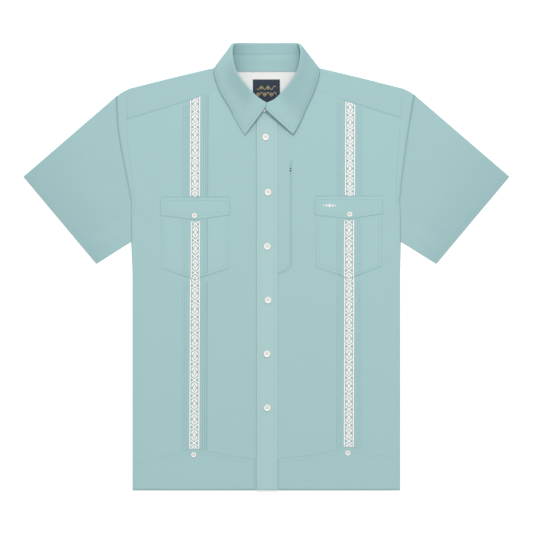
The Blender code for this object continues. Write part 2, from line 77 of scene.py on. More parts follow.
YOKE_SEAM = np.array([(68.0, 328.0), (138.0, 299.5), (270.0, 259.5)])
SHOULDER = np.array([(76.0, 357.2), (96.0, 357.4), (171.0, 339.6), (247.0, 320.4),
                     (260.0, 313.8), (270.0, 305.9)])
NECKLINE = np.array([(0.0, 280.0), (20.0, 283.5), (40.0, 292.5), (57.0, 307.5), (68.0, 328.0),
                     (74.0, 345.0), (76.0, 355.4)])
HEM_PANEL_TOP = {  # x, y of the panel's upper edge
    "right": rounded((-240.8, -348.1), (-218.5, -347.0), (-190.0, -341.0), (-160.9, -335.3),
                     (-138.5, -329.2), (-129.0, -327.4), (-118.5, -329.2), (-84.2, -335.8),
                     (-54.7, -343.0), (-17.8, -345.4)),
    "left": rounded((20.3, -346.0), (53.3, -341.5), (82.0, -339.6), (110.0, -333.0),
                    (138.0, -325.8), (148.1, -324.0), (158.0, -325.8), (200.9, -339.0),
                    (240.8, -340.4)),
}
CUFF = np.array([(437.3, 162.3), (305.8, 5.2)])         # top and lower end of a laid cuff
TUCK_FIRST, TUCK_PITCH, TUCK_COUNT = 12.7, 3.9, 3
COLLAR = np.array([
    # roll x, y, z      free x, y, z         neck x, y, z        turn
    (-0.5, 293.5, 17.5, -43.7, 236.3, 6.4, -0.8, 280.5, 6.9, 0),
    (-12.1, 300.5, 17.8, -50.6, 247.5, 5.9, -20.0, 284.0, 6.7, 0),
    (-24.5, 311.2, 18.2, -59.3, 263.3, 5.7, -36.0, 290.5, 5.9, 0),
    (-38.0, 326.8, 18.6, -69.0, 284.0, 5.7, -54.0, 305.0, 5.6, 0),
    (-53.9, 350.0, 18.6, -85.0, 314.5, 5.7, -66.5, 326.5, 5.6, 4),
    (-59.8, 372.5, 18.0, -94.2, 342.5, 5.7, -72.5, 345.0, 5.7, 12),
    (-60.9, 387.5, 16.0, -94.8, 352.8, 5.9, -72.0, 350.5, 5.5, 38),
    (-58.6, 398.6, 11.5, -92.6, 359.2, 3.1, -68.5, 353.2, 4.8, 90),
    (-52.0, 401.6, 6.6, -82.0, 361.6, 1.3, -60.0, 351.6, 4.2, 150),
    (-30.0, 401.9, 4.7, -42.0, 357.4, 0.7, -36.0, 351.3, 3.9, 176),
    (0.0, 401.7, 4.7, 0.0, 356.2, 0.7, 0.0, 351.3, 3.9, 180),
])
COLLAR_SKEW = np.array([(230.0, 5.6), (285.0, 3.2), (315.0, 1.2), (345.0, 0.6), (372.0, 0.2),
                        (388.0, 0.2), (402.0, -0.7)])
FRONT_EDGE_BOW = {  # part of the way up the leaf, swing of its front edge past the middle
    -1: np.array([(0.0, 0.0), (0.3, 0.5), (0.65, 1.2), (0.9, 1.2), (1.0, 0.6)]),
    1: np.array([(0.0, 0.0), (0.3, 5.4), (0.65, 11.7), (0.78, 13.9), (0.86, 13.6), (0.94, 8.5),
                 (1.0, 4.0)])}
ROLL_FRONT, ROLL_BACK, LEAF_BOW, LAP_RISE = 2.0, 3.4, 6.4, 1.2
STAND_SHARE, STAND_END = 0.34, {-1: -2.5, 1: 8.0}
COLLAR_REST, COLLAR_PRESS = 5.2, 0.62      # at the front, heights above the first shrink by this
BUTTON_X, BUTTON_FIRST_Y, BUTTON_PITCH, BUTTON_COUNT = 2.0, 232.5, 97.5, 6
FLAP_RISE, POCKET_RISE, HEM_PANEL_RISE, PLACKET_RISE = 1.05, 0.55, 0.62, 0.85
UNDER_Z, SLEEVE_HIGH = 0.35, (4.05, 3.35)  # middle of an under layer; of a sleeve's top, to its cuff
YOKE_ARM_Y, YOKE_CUT_Y = 270.0, 330.0      # yoke seam at the armhole; its fold on the cut cloth
SLIT_X, SLIT_TOP, SLIT_FOOT = 44.3, 191.7, (24.4, -11.5)      # the hidden pocket's opening
RAIL, BAR_HALF, BAND_WIDTH = (6.65, 9.4), 1.35, 19.4
MOTIF_AT, MOTIF_TURN = (113.6, 109.8), -0.03


# ------------------------------------------------------------------ reading tables and curves
def read(rows, at, column=1):
    """Straight-line reading of a table whose first column rises."""
    return np.interp(at, rows[:, 0], rows[:, column])


def ease(low, high, at):
    """Smooth step from 0 at low to 1 at high: t t (3 - 2 t)."""
    t = np.clip((np.asarray(at, float) - low) / (high - low), 0, 1)
    return t * t * (3 - 2 * t)


def blend(a, b, share):
    return a + (b - a) * share


def through(rows, at):
    """Smooth curve through a table's rows, one row for each whole number: cubic Hermite pieces
    whose slope at a row is half the step between its neighbours."""
    slope = np.gradient(rows, axis=0)
    k = np.clip(np.floor(at).astype(int), 0, len(rows) - 2)
    t = (at - k)[:, None]
    return ((2 * t ** 3 - 3 * t ** 2 + 1) * rows[k] + (t ** 3 - 2 * t ** 2 + t) * slope[k]
            + (3 * t ** 2 - 2 * t ** 3) * rows[k + 1] + (t ** 3 - t ** 2) * slope[k + 1])


def least(*parts):
    return np.minimum.reduce(np.broadcast_arrays(*parts))


def most(*parts):
    return np.maximum.reduce(np.broadcast_arrays(*parts))


def edged(length, step, fine=(0.3, 0.8, 1.6)):
    """Distances from 0 to length, about a step apart, closer together near both ends."""
    count = max(3, int(round((length - 2 * fine[-1]) / step)) + 1)
    middle = np.linspace(fine[-1], length - fine[-1], count)
    return np.concatenate([[0.0], fine[:-1], middle, length - np.array(fine[-2::-1]), [length]])


def shares(step, *fine):
    """Parts of the way from 0 to 1, given in thousandths, closer together near both ends."""
    return edged(1000.0, step, fine) / 1000.0


def ridge(size, a, b, c, d, at):
    """0 up to a, this size from b to c, 0 from d on."""
    return size * ease(a, b, at) * ease(d, c, at)


def at_x(value):
    """A straight edge: the same x at every y."""
    return lambda y: 0 * y + value


def unit(vectors):
    return vectors / np.maximum(np.linalg.norm(vectors, axis=-1, keepdims=True), 1e-9)


def together(*parts):
    """Arrays put side by side as the last axis, each stretched to the others' shape."""
    return np.stack(np.broadcast_arrays(*parts), -1)


def along(path):
    """Length run from the first point to each point of a path."""
    steps = np.linalg.norm(np.diff(path, axis=0), axis=1)
    return np.concatenate([[0.0], np.cumsum(steps)])


def on_path(path, at):
    """Points at these lengths along a path, in straight lines between its points."""
    return np.stack([np.interp(at, along(path), column) for column in np.transpose(path)], -1)


def joined(parts):
    """Meshes as one: each part is its points, its faces and sometimes its places."""
    first = np.cumsum([0] + [len(part[0]) for part in parts])
    columns = list(zip(*parts))
    columns[1] = [faces + k for faces, k in zip(columns[1], first)]
    return [np.concatenate(column) for column in columns]


# ------------------------------------------------------------------ meshes
def link(name, mesh, finish):
    """An object in a finish, which is a material."""
    obj = bpy.data.objects.new(name, mesh)
    bpy.context.collection.objects.link(obj)
    mesh.materials.append(finish[0])
    mesh.shade_smooth()
    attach(obj, "root")
    return obj


def raw_mesh(name, points, faces, uv=None, shade=None):
    """A mesh from arrays: points in mm, faces as rows of four (or three) point numbers, uv in mm
    and shade, a painted shade which materials read, for each point."""
    mesh = bpy.data.meshes.new(name)
    mesh.from_pydata((np.asarray(points) * MM).tolist(), [],
                     faces if isinstance(faces, list) else faces.tolist())
    if uv is not None:
        corner = np.empty(len(mesh.loops), dtype=np.int32)
        mesh.loops.foreach_get("vertex_index", corner)
        layer = mesh.uv_layers.new(name="Cut")
        layer.data.foreach_set("uv", (uv[corner] * MM).astype(np.float32).ravel())
    # the shade mark: painted shade, which the materials mix towards a dark colour
    if shade is not None:
        mark = mesh.attributes.new("shade", "FLOAT", "POINT")
        mark.data.foreach_set("value", np.asarray(shade, np.float32))
    mesh.update()
    return mesh


def seal(mesh):
    """Merges points that coincide and turns every face outwards."""
    bm = bmesh.new()
    bm.from_mesh(mesh)
    bmesh.ops.remove_doubles(bm, verts=bm.verts, dist=1e-7)
    bmesh.ops.recalc_face_normals(bm, faces=bm.faces)
    bm.to_mesh(mesh)
    bm.free()
    return mesh


def grid_faces(rows, columns, around=False, keep=None):
    """Faces of a grid of points, wound towards the cross product of column and row steps."""
    i, j = np.meshgrid(np.arange(rows - 1), np.arange(columns if around else columns - 1),
                       indexing="ij")
    k = (j + 1) % columns
    faces = together(i * columns + j, i * columns + k, (i + 1) * columns + k, (i + 1) * columns + j)
    return faces[keep] if keep is not None else faces.reshape(-1, 4)


def cloth(name, points, finish, flat, area=None, held="laid", on=(), wall=FINE, rim=0.2, uv=None,
          shade=0.0, around=False, keep=None):
    """A shell of cloth: a grid of middle points, thickened evenly to both faces by its wall, with
    rims rounded by a small bevel.  uv is the place on the cut cloth; shade is painted shade along
    seams, edges and tucks and under overlapping pieces.  flat and area are the cut's, in mm, and
    on names what it lies on.  A piece stands for the node that its name begins with; the welt has
    none."""
    rows, columns = points.shape[:2]
    place = (points[..., :2] if uv is None else uv).reshape(-1, 2)
    used, faces = np.unique(grid_faces(rows, columns, around, keep), return_inverse=True)
    shade = np.broadcast_to(shade, (rows, columns)).ravel()[used]
    mesh = raw_mesh(name, points.reshape(-1, 3)[used], faces.reshape(-1, 4), place[used], shade)
    obj = link(name, mesh, finish)
    shell = obj.modifiers.new("Wall", "SOLIDIFY")
    shell.thickness, shell.offset = wall * MM, 0.0
    if rim:
        bevel = obj.modifiers.new("Rim", "BEVEL")
        bevel.width, bevel.segments = rim * MM, 2
        bevel.limit_method, bevel.angle_limit = "ANGLE", math.radians(62)
        bevel.harden_normals = False
    node, ending = name.rsplit("_", 1)
    if ending != "welt":
        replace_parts(obj, node)
    cut = dict(flat=(flat[0] * MM, flat[1] * MM), held=held)
    if area:
        cut["area"] = area * MM * MM
    if on:
        cut["rests_on"] = list(on)


def stitches(name, runs, finish, pitch=2.9, length=2.1, width=0.42):
    """Topstitching: for each run of points, grains of thread a pitch apart, each a six-sided
    spindle with two rings and a pole at each end, laid along the run."""
    turn = np.arange(6) * TAU / 6
    ring = together(0.0, np.cos(turn), np.sin(turn))
    spindle = np.concatenate([[(-0.5, 0, 0)], ring + (-0.3, 0, 0), ring + (0.3, 0, 0),
                              [(0.5, 0, 0)]]) * (length, width / 2, width / 2)
    k, n = np.arange(6), (np.arange(6) + 1) % 6
    caps = np.concatenate([together(0, 1 + n, 1 + k), together(13, 7 + k, 7 + n)])
    sides = together(1 + k, 1 + n, 7 + n, 7 + k)
    bodies = []
    for run in runs:
        at = on_path(run, np.arange(pitch / 2, along(run)[-1], pitch))
        way = unit(np.gradient(at, axis=0))
        up = unit(np.cross(way, np.cross((0, 0, 1), way)))
        bodies.append(at[:, None] + spindle[:, :1] * way[:, None]
                      + spindle[:, 1:2] * np.cross(up, way)[:, None] + spindle[:, 2:] * up[:, None])
    points = np.concatenate(bodies).reshape(-1, 3)
    first = np.arange(0, len(points), 14)[:, None, None]
    faces = (caps + first).reshape(-1, 3).tolist() + (sides + first).reshape(-1, 4).tolist()
    return link(name, raw_mesh(name, points, faces), finish)


def tubes(name, paths, radius, finish):
    """Threads: a six-sided ring carried along each path, closed to a point at both ends."""
    turn = (np.arange(6) * TAU / 6)[None, :, None]
    parts = []
    for path in paths:
        path = np.concatenate([path[:1], path, path[-1:]])
        way = unit(np.gradient(path, axis=0) + 1e-9)
        side = unit(np.cross(way, (0, 0, 1)))
        size = np.full((len(path), 1, 1), radius)
        size[[0, -1]] = 0.02 * radius
        rings = path[:, None] + size * (side[:, None] * np.cos(turn)
                                        + np.cross(side, way)[:, None] * np.sin(turn))
        parts.append((rings.reshape(-1, 3), grid_faces(len(path), 6, around=True)))
    return link(name, raw_mesh(name, *joined(parts)), finish)


# ------------------------------------------------------------------ materials
class Value:
    """A shader socket that Python's operators turn into Math nodes."""

    def __init__(self, recipe, socket):
        self.recipe, self.socket = recipe, socket

    def math(self, operation, *others):
        return self.recipe.node("ShaderNodeMath", dict(operation=operation), self, *others)

    def __add__(self, other):
        return self.math("ADD", other)

    def __sub__(self, other):
        return self.math("SUBTRACT", other)

    def __mul__(self, other):
        return self.math("MULTIPLY", other)

    def sin(self):
        return self.math("SINE")

    def absolute(self):
        return self.math("ABSOLUTE")

    def step(self, low, high):
        """0 on low's side, 1 on high's, and smooth between."""
        return self.recipe.node("ShaderNodeMapRange", dict(interpolation_type="SMOOTHSTEP"),
                                self, low, high)


class Recipe:
    """A material being put together, with its one Principled shader."""

    def __init__(self, name, slot, roughness, sheen=0.0, gloss=0.3, metallic=0.0):
        self.material, self.slot = bpy.data.materials.new(name), slot
        self.material.use_nodes = True
        self.tree = self.material.node_tree
        self.inputs = self.tree.nodes["Principled BSDF"].inputs
        for socket, value in (("Roughness", roughness), ("Sheen Weight", sheen),
                              ("Sheen Roughness", 0.45), ("Specular IOR Level", gloss),
                              ("Metallic", metallic)):
            self.inputs[socket].default_value = value

    def node(self, kind, settings, *values, out=0, **named):
        """A node of any kind: its settings first, then its sockets' values or links in order,
        or by name."""
        node = self.tree.nodes.new(kind)
        for key, value in settings.items():
            setattr(node, key, value)
        for socket, value in list(zip(node.inputs, values)) + [(node.inputs[key], value)
                                                               for key, value in named.items()]:
            self.put(socket, value)
        return Value(self, node.outputs[out])

    def put(self, socket, value):
        if isinstance(value, Value):
            self.tree.links.new(value.socket, socket)
        else:
            socket.default_value = value

    def where(self):
        return self.node("ShaderNodeTexCoord", {}, out=3)

    def place(self):
        """Where a point lies on the cut cloth, and its two parts, in metres."""
        uv = self.node("ShaderNodeUVMap", dict(uv_map="Cut"))
        return [uv] + [self.node("ShaderNodeSeparateXYZ", {}, uv, out=k) for k in (0, 1)]

    def noise(self, vector, scale, detail=2.0, rough=0.5, stretch=None):
        if stretch:
            vector = self.node("ShaderNodeMapping", {}, vector, Scale=stretch + (1.0,))
        return self.node("ShaderNodeTexNoise", {}, Vector=vector, Scale=scale, Detail=detail,
                         Roughness=rough)

    def dyed(self, colour, low, high, share):
        """A colour between two tones of it."""
        return self.colour(tone(colour, low), tone(colour, high), share)

    def colour(self, a, b, share):
        """Mix of two colours by a share."""
        node = self.tree.nodes.new("ShaderNodeMix")
        node.data_type, node.clamp_factor = "RGBA", True
        for index, value in ((0, share), (6, a), (7, b)):
            self.put(node.inputs[index], value)
        return Value(self, node.outputs[2])

    def shaded(self, body, dark):
        """The body colour, going to the dark one where the shade mark paints shade."""
        mark = self.node("ShaderNodeAttribute", dict(attribute_name="shade"), out=2)
        return self.colour(body, dark, mark)

    def done(self, colour, height, distance, strength):
        """Feeds the base colour and the relief; gives the finish."""
        self.put(self.inputs["Base Color"], colour)
        self.put(self.inputs["Normal"], self.node("ShaderNodeBump", {}, Height=height,
                                                  Strength=strength, Distance=distance))
        return self.material, self.slot


def tone(colour, factor):
    return tuple(channel * factor for channel in colour[:3]) + (1.0,)


def shirting(name, colour, slot="body_cloth", yarn=0.42):
    """Plain-weave shirting.  Colour: the dyed tone, a little lighter or darker in broad patches
    and along single threads, going to a painted shade colour where the shade mark is high.
    Relief: warp and weft waves a yarn apart, multiplied into a checker of crowns."""
    r = Recipe(name, slot, roughness=0.88, sheen=0.12, gloss=0.18)
    uv, u, v = r.place()
    warp, weft = ((way * (TAU / (yarn * MM * 2))).sin() for way in (u, v))
    patches = r.noise(uv, 9.0, 3.0, 0.55)
    runs = r.noise(uv, 1.0, 2.0, 0.6, stretch=(1500.0, 45.0))
    picks = r.noise(uv, 1.0, 2.0, 0.6, stretch=(40.0, 1400.0))
    tint = (patches - 0.5) * 0.10 + (runs + picks - 1.0) * 0.07 + 0.5
    body = r.dyed(colour, 0.94, 1.06, tint)
    # the colour of the painted shade: a darker tone of the dye
    painted_shade_colour = tuple(channel * part for channel, part in zip(colour, (0.30, 0.42, 0.45))) + (1.0,)
    return r.done(r.shaded(body, painted_shade_colour), warp * weft * 0.5 + (runs + picks) * 0.8, 0.00012, 0.6)


def thread(name, slot, colour, roughness=0.6):
    """Sewing thread: one dyed shade with a fine twist in relief."""
    r = Recipe(name, slot, roughness=roughness, sheen=0.3)
    speck = r.noise(r.where(), 900.0, 1.0)
    return r.done(r.dyed(colour, 0.9, 1.06, speck), speck, 0.0001, 0.5)


def satin_thread(colour):
    """White satin stitch: threads lie side by side along each shape; painted shade dips the colour
    between them.
    """
    r = Recipe("White satin stitch", "band_cloth", roughness=0.42, sheen=0.25, gloss=0.5)
    uv, u, _ = r.place()
    rows, speck = (u * (TAU / 0.00042)).sin(), r.noise(uv, 700.0, 2.0)
    tint = rows * 0.30 + (speck - 0.5) * 0.5 + 0.62
    return r.done(r.dyed(colour, 0.86, 1.03, tint),
                  rows * 0.5 + speck * 0.4, 0.00015, 0.7)


def slubby(colour):
    """Lining: a loose weave whose threads thicken and thin, darker in the gaps."""
    r = Recipe("Off-white slub lining", "lining_cloth", roughness=0.8, sheen=0.2, gloss=0.2)
    uv = r.place()[0]
    slubs = (r.noise(uv, 1.0, 3.0, 0.7, stretch=(1300.0, 60.0))
             + r.noise(uv, 1.0, 3.0, 0.7, stretch=(70.0, 1100.0)))
    return r.done(r.dyed(colour, 0.84, 1.05, (slubs - 1.0) * 1.1 + 0.55),
                  slubs, 0.0002, 0.7)


def label_satin(colour):
    """Woven label: a fine diagonal satin weave."""
    r = Recipe("Navy woven label", "label_cloth", roughness=0.5, sheen=0.3, gloss=0.35)
    uv, u, v = r.place()
    weave, speck = ((u + v * 3.0) * (TAU / 0.0008)).sin(), r.noise(uv, 900.0, 2.0)
    tint = weave * 0.25 + (speck - 0.5) * 0.8 + 0.4
    return r.done(r.dyed(colour, 0.75, 1.5, tint),
                  weave * 0.5 + speck * 0.4, 0.0001, 0.5)


def cast_button(colour, dark):
    """Button: smooth cast disc, faintly clouded, with painted shade in the holes."""
    r = Recipe("Off-white button", "button_plastic", roughness=0.28, gloss=0.5)
    cloud = r.noise(r.where(), 260.0, 3.0, 0.6)
    body = r.dyed(colour, 0.93, 1.04, cloud)
    return r.done(r.shaded(body, dark), cloud, 0.0001, 0.15)


def gunmetal(colour, painted_glint_colour, waist_y):
    """Dark metal, with a painted glint across the slider's waist, where the bridge's crown catches
    the light.
    """
    r = Recipe("Dark slider metal", "slider_metal", roughness=0.35, metallic=1.0)
    where = r.where()
    wear = r.noise(where, 900.0, 3.0, 0.6)
    off = (r.node("ShaderNodeSeparateXYZ", {}, where, out=1) - waist_y * MM).absolute()
    dark = r.dyed(colour, 0.8, 1.5, wear)
    r.put(r.inputs["Roughness"], wear * 0.3 + 0.22)
    return r.done(r.colour(dark, painted_glint_colour, off.step(0.0012, 0.0007) * 0.9), wear, 0.00005, 0.3)


def floor_paint():
    """Matt white floor, lit from within a little so that it stays pale."""
    r = Recipe("Pale floor", None, roughness=0.95, gloss=0.05)
    speck = r.noise(r.where(), 6.0, 2.0)
    r.put(r.inputs["Base Color"], r.dyed((1, 1, 1), 0.90, 0.94, speck))
    r.put(r.inputs["Emission Color"], (1, 1, 1, 1))
    r.put(r.inputs["Emission Strength"], 0.30)
    return r.material


SLIDER_AT = 43.4, 174.5
TEAL = (0.372, 0.566, 0.573)
BODY = shirting("Seafoam shirting, body", TEAL)
BACK = shirting("Seafoam shirting, back", tone(TEAL, 0.98))
YOKE = shirting("Seafoam shirting, yoke", tone(TEAL, 0.985))
SLEEVE = shirting("Seafoam shirting, sleeves", tone(TEAL, 0.975))
TRIM_CLOTH = shirting("Seafoam shirting, pockets", tone(TEAL, 1.01), "trim_cloth")
PLACKET_CLOTH = shirting("Seafoam shirting, placket", (0.408, 0.592, 0.592), "trim_cloth")
HEM_CLOTH = shirting("Seafoam shirting, hem panels", TEAL, "hem_cloth")
COLLAR_CLOTH = shirting("Seafoam shirting, collar", TEAL)
# the bands' ground: the shirting darkened as painted shade in the gaps between the satin stitches
SHADE_DARKENED_GROUND = shirting("Seafoam band ground", tone(TEAL, 0.80), "band_cloth")
WHITE_SATIN = satin_thread((0.985, 0.985, 0.965))
# darker than the cloth, so that the topstitching carries the painted shade of its sunk stitch lines
SEWING = thread("Seafoam sewing thread", "body_cloth", (0.245, 0.40, 0.41))
PALE_SEWING = thread("Light seafoam sewing thread", "trim_cloth", (0.355, 0.545, 0.553))
HEM_SEWING = PALE_SEWING[0], "hem_cloth"
LINING = slubby((0.87, 0.87, 0.85))
NAVY = label_satin((0.009, 0.022, 0.045))
GOLD = thread("Gold label thread", "label_cloth", (0.52, 0.42, 0.19), 0.5)
# the second colour is the painted shade in the buttons' holes
PEARL = cast_button((0.90, 0.885, 0.85), (0.16, 0.11, 0.085, 1))
BUTTON_THREAD = thread("Off-white button thread", "button_plastic", (0.76, 0.73, 0.67))
# the pale colour is a painted glint across the slider's waist
METAL = gunmetal((0.035, 0.04, 0.045), (0.62, 0.7, 0.7, 1.0), SLIDER_AT[1])


# ------------------------------------------------------------------ form of the laid body, in mm
def side_x(sign, y):
    """Edge of the body: the side seam, then the armhole seam, from the middle outwards."""
    armhole = ARMHOLE[:, (0, 1 if sign < 0 else 2)]
    return sign * read(np.concatenate([[(HEM_Y, SIDE_X), (-10.0, SIDE_X)], armhole]), y)


def band_x(side, y):
    return SIDES[side]["band"] + SIDES[side]["lean"] * y


def front_top(x):
    """Upper edge of a front: the neckline in the middle, the yoke seam outside it."""
    x = np.abs(x)
    return np.where(x < YOKE_SEAM[0, 0], read(NECKLINE, x), read(YOKE_SEAM, x))


def folds(x, y, rows):
    """Soft troughs (below 0) and ridges: each a bell across its line, fading along it."""
    rise = np.zeros(np.broadcast(x, y).shape)
    for x0, y0, x1, y1, width, height in rows:
        dx, dy = x1 - x0, y1 - y0
        size = math.hypot(dx, dy)
        run = ((x - x0) * dx + (y - y0) * dy) / size ** 2
        off = ((x - x0) * dy - (y - y0) * dx) / size
        rise = rise + (height * np.exp(-(off / width) ** 2)
                       * ease(-0.25, 0.25, run) * ease(1.25, 0.75, run))
    return rise


BODY_FOLDS = [  # x, y at each end, width, height
    (-236, 96, -196, 60, 9, -0.94), (-240, 62, -200, 22, 11, 0.77),
    (-232, 168, -205, 128, 10, -0.59), (-226, 20, -210, -70, 12, -0.68),
    (-214, -120, -226, -250, 14, 0.77), (-188, -180, -196, -300, 12, -0.59),
    (-96, -60, -84, -210, 16, 0.68), (-60, -30, -48, -150, 13, -0.59),
    (-70, 60, -52, -10, 12, 0.51), (-92, 200, -60, 120, 14, -0.51),
    (-210, 250, -175, 190, 16, 0.51), (-160, 228, -190, 150, 12, -0.42),
    (236, 90, 198, 48, 10, -0.94), (240, 50, 204, 6, 11, 0.85),
    (228, 160, 214, 120, 9, -0.59), (232, -10, 220, -110, 13, -0.77),
    (222, -150, 230, -290, 13, 0.68), (196, -120, 190, -260, 15, -0.51),
    (106, -70, 94, -230, 17, 0.68), (62, -60, 70, -190, 12, -0.59),
    (74, 70, 60, -20, 13, 0.51), (92, 226, 64, 150, 14, -0.51),
    (206, 236, 178, 170, 15, 0.51), (40, -250, 52, -340, 14, 0.51),
]
YOKE_FOLDS = [(-240, 282, -150, 318, 12, 0.35), (236, 276, 170, 312, 12, 0.35),
              (-120, 316, -92, 340, 8, -0.3), (118, 314, 94, 338, 8, -0.3)]
SLEEVE_FOLDS = [
    (-262, 88, -318, 60, 11, -1.19), (-262, 118, -330, 120, 14, 0.77),
    (-262, 62, -306, 34, 8, 0.77), (-270, 150, -340, 170, 18, -0.59),
    (-300, 240, -372, 200, 20, 0.51), (-330, 110, -366, 80, 16, -0.59),
    (260, 84, 316, 52, 11, -1.19), (262, 112, 330, 108, 14, 0.77),
    (262, 60, 304, 30, 8, 0.77), (272, 156, 344, 168, 18, -0.59),
    (300, 236, 380, 190, 20, 0.51), (334, 104, 372, 74, 16, -0.59),
]
PLACKET_FOLDS = [(-8, 200, 6, 150, 7, 0.2), (8, 90, -4, 60, 8, -0.2), (0, -120, 6, -160, 8, 0.2),
                 (4, 20, -6, -20, 7, 0.15), (-4, -290, 8, -320, 8, -0.15)]
COLLAR_FOLDS = [(-70, 330, -50, 352, 9, 0.5), (84, 318, 66, 350, 10, 0.5),
                (-52, 270, -38, 296, 8, 0.25), (56, 262, 44, 300, 9, 0.25)]
INNER_FOLDS = [(-46, 391, 20, 389, 3.2, -0.55), (-10, 381, 46, 383, 3.0, -0.45),
               (-44, 362, 40, 360, 2.6, -0.5), (-30, 371, 34, 372, 4.0, 0.35),
               (-50, 378, -14, 376, 3.0, -0.35)]
TUCK_FOLD = np.array([  # outwards from the stitching, height: out to the fold and back under it
    (0.0, 0.0), (0.7, 0.10), (1.5, 0.30), (2.4, 0.45), (3.05, 0.48), (3.4, 0.42), (3.52, 0.28),
    (3.35, 0.12), (3.05, 0.03), (3.4, 0.0), (3.9, 0.0)])
TUCK_TOP = np.array([(0, 0), (0.7, 0.10), (1.5, 0.30), (2.4, 0.45), (3.05, 0.48), (3.5, 0.38),
                     (3.6, 0.0), (3.9, 0.0)])           # the same, seen from above
# painted shade at each point of a tuck's fold, darkest under its overhang; then how strong it is for
# each tuck on either side of the band
TUCK_SHADE = np.array([0.5, 0, 0, 0, 0.25, 0.7, 1.0, 1.0, 1.0, 1.0, 0.5])
TUCK_SHADE_STRENGTH = {"right": ((0.13, 0.10, 0.17), (0.13, 0.22, 0.62)),
              "left": ((0.14, 0.17, 0.24), (0.18, 0.14, 0.22))}
TUCK_START = TUCK_FIRST - TUCK_PITCH / 2


def top_z(x, y):
    """Upper face of the fronts: level, coming down to the back along the side seams, with the
    soft folds of the laid cloth."""
    inside, above = ease(0, 35, SIDE_X - np.abs(x)), ease(UNDERARM_Y, KINK_Y, y)
    return FRONT_TOP - (LOFT - SIDE_LOFT) * (1 - inside) * (1 - above) + folds(x, y, BODY_FOLDS)


def rolled(d, radius, drop):
    """How far an edge turns down: a quarter round of this radius, flattened to the drop."""
    t = np.clip(1 - d / radius, 0, 1)
    return drop * (1 - np.sqrt(1 - t * t))


def across_bands(side, left, right, step):
    """Columns across a piece that the band and its tucks run down.  Each column is a weighted sum
    x = a left(y) + b band(y) + c right(y) + d: a fixed distance from an edge near that edge, a
    fixed offset from the band over its tucks, and a share of the room between them elsewhere.
    Gives x as a function of y, and each column's height and painted shade."""
    out = np.concatenate([TUCK_START + TUCK_PITCH * k + TUCK_FOLD[:, 0] for k in range(TUCK_COUNT)])
    high = np.tile(TUCK_FOLD[:, 1], TUCK_COUNT)
    dark = [np.concatenate([TUCK_SHADE * depth for depth in part]) for part in TUCK_SHADE_STRENGTH[side]]
    offsets = np.concatenate([-out[::-1], np.linspace(-9.5, 9.5, 6), out])
    field, near = TUCK_FIRST + (TUCK_COUNT - 0.5) * TUCK_PITCH + 0.8, 26.0
    zero = np.zeros(1)
    room0 = band_x(side, 0.0) - field - left(zero)[0]
    room1 = right(zero)[0] - band_x(side, 0.0) - field
    d0, d1 = edged(room0, step)[:-1], room1 - edged(room1, step)[1:]
    share0 = np.clip((d0 - near) / max(room0 - near, 1), 0, 1)
    share1 = np.clip((d1 - near) / max(room1 - near, 1), 0, 1)
    weights = np.concatenate([
        together(1 - share0, share0, 0, (1 - share0) * np.minimum(d0, near) - share0 * field),
        together(0, 1, 0, offsets),
        together(0, share1, 1 - share1, share1 * field - (1 - share1) * np.minimum(d1, near)),
    ])[..., None]

    def x_of(y):
        return (weights[:, 0] * left(y) + weights[:, 1] * band_x(side, y)
                + weights[:, 2] * right(y) + weights[:, 3])
    heights, shades = (np.concatenate([0 * d0, a[::-1], np.zeros(6), b, 0 * d1])[:, None]
                       for a, b in ((high, high), dark))
    return x_of, heights, shades


def pointed(s, point, corner, x):
    """Height of a pointed lower edge, lowest in the middle of the band."""
    off = (x - s["band"]) / ((s["x1"] - s["x0"]) / 2)
    return blend(s[point], s[corner], np.minimum(1.0, np.abs(off))) + s["tilt"] * off


def open_seam(reach, x):
    """How open the yoke seam stands: it ends at the armhole's facing and closes to the neck."""
    return ease(14, 19, reach) * blend(0.4, 1, ease(110, 190, np.abs(x)))


# ------------------------------------------------------------------ fronts, back, yoke and sleeves
def make_front(side):
    """A front: rows from the hem to the neckline and yoke seam, columns from side to edge.  Its
    height is the laid form plus the pintucks; the side seam and the hem turn down to the back."""
    s, sign = SIDES[side], SIDES[side]["sign"]
    edges = [lambda y: side_x(sign, y), at_x(UNDERLAP_X if sign < 0 else PLACKET_RIGHT - 1.2)]
    x_of, heights, shades = across_bands(side, *edges[::-sign], 4.0)
    share = shares(5.6, 0.6, 1.6, 3.2)[None]
    top = np.full((len(heights), 1), 300.0)
    for _ in range(4):                    # rows rise to each column's own upper edge
        y = HEM_Y + share * (top + 0.5 - HEM_Y)
        x = x_of(y)
        top = front_top(x[:, -1:])
    d_side, low = np.abs(side_x(sign, y)) - sign * x, ease(KINK_Y, KINK_Y - 18, y)
    covered = (ease(s["point"] - 6, s["point"] + 2, y)
               * ease(s["flap_top"] + 2, s["flap_top"] - 2, y))
    clear = ease(-338, -326, y) * ease(1, 7, top - y) * (1 - covered)
    z = top_z(x, y) - FINE / 2 + heights * clear
    z = z - low * rolled(d_side, 3.0, 1) * (z - 1.5) - (1 - low) * rolled(d_side, 2.2, 0.7)
    free = open_seam(d_side, x)
    z = z - (0.05 + 0.25 * free) * ease(3.0, 0.3, top - y) - 1.0 * ease(2.5, 0.2, y - HEM_Y)
    if side == "right":                   # goes down under the placket's free edge
        z = z - 0.5 * ease(-24, -18, x)
    # painted shade: under the tucks' folds, along the armhole seam and along the open yoke seam
    shade = most(shades * clear, 0.5 * (1 - low) * ease(2.4, 0.0, d_side),
                 0.30 * free * ease(1.8, 0.6, top - y) * (np.abs(x) > 66))
    width, height = np.ptp(x) + 50, 760
    cloth(f"front_{side}_cloth", together(x, y, z), BODY, (width, height), 0.88 * width * height,
          on=["back_panel_cloth"], shade=shade)


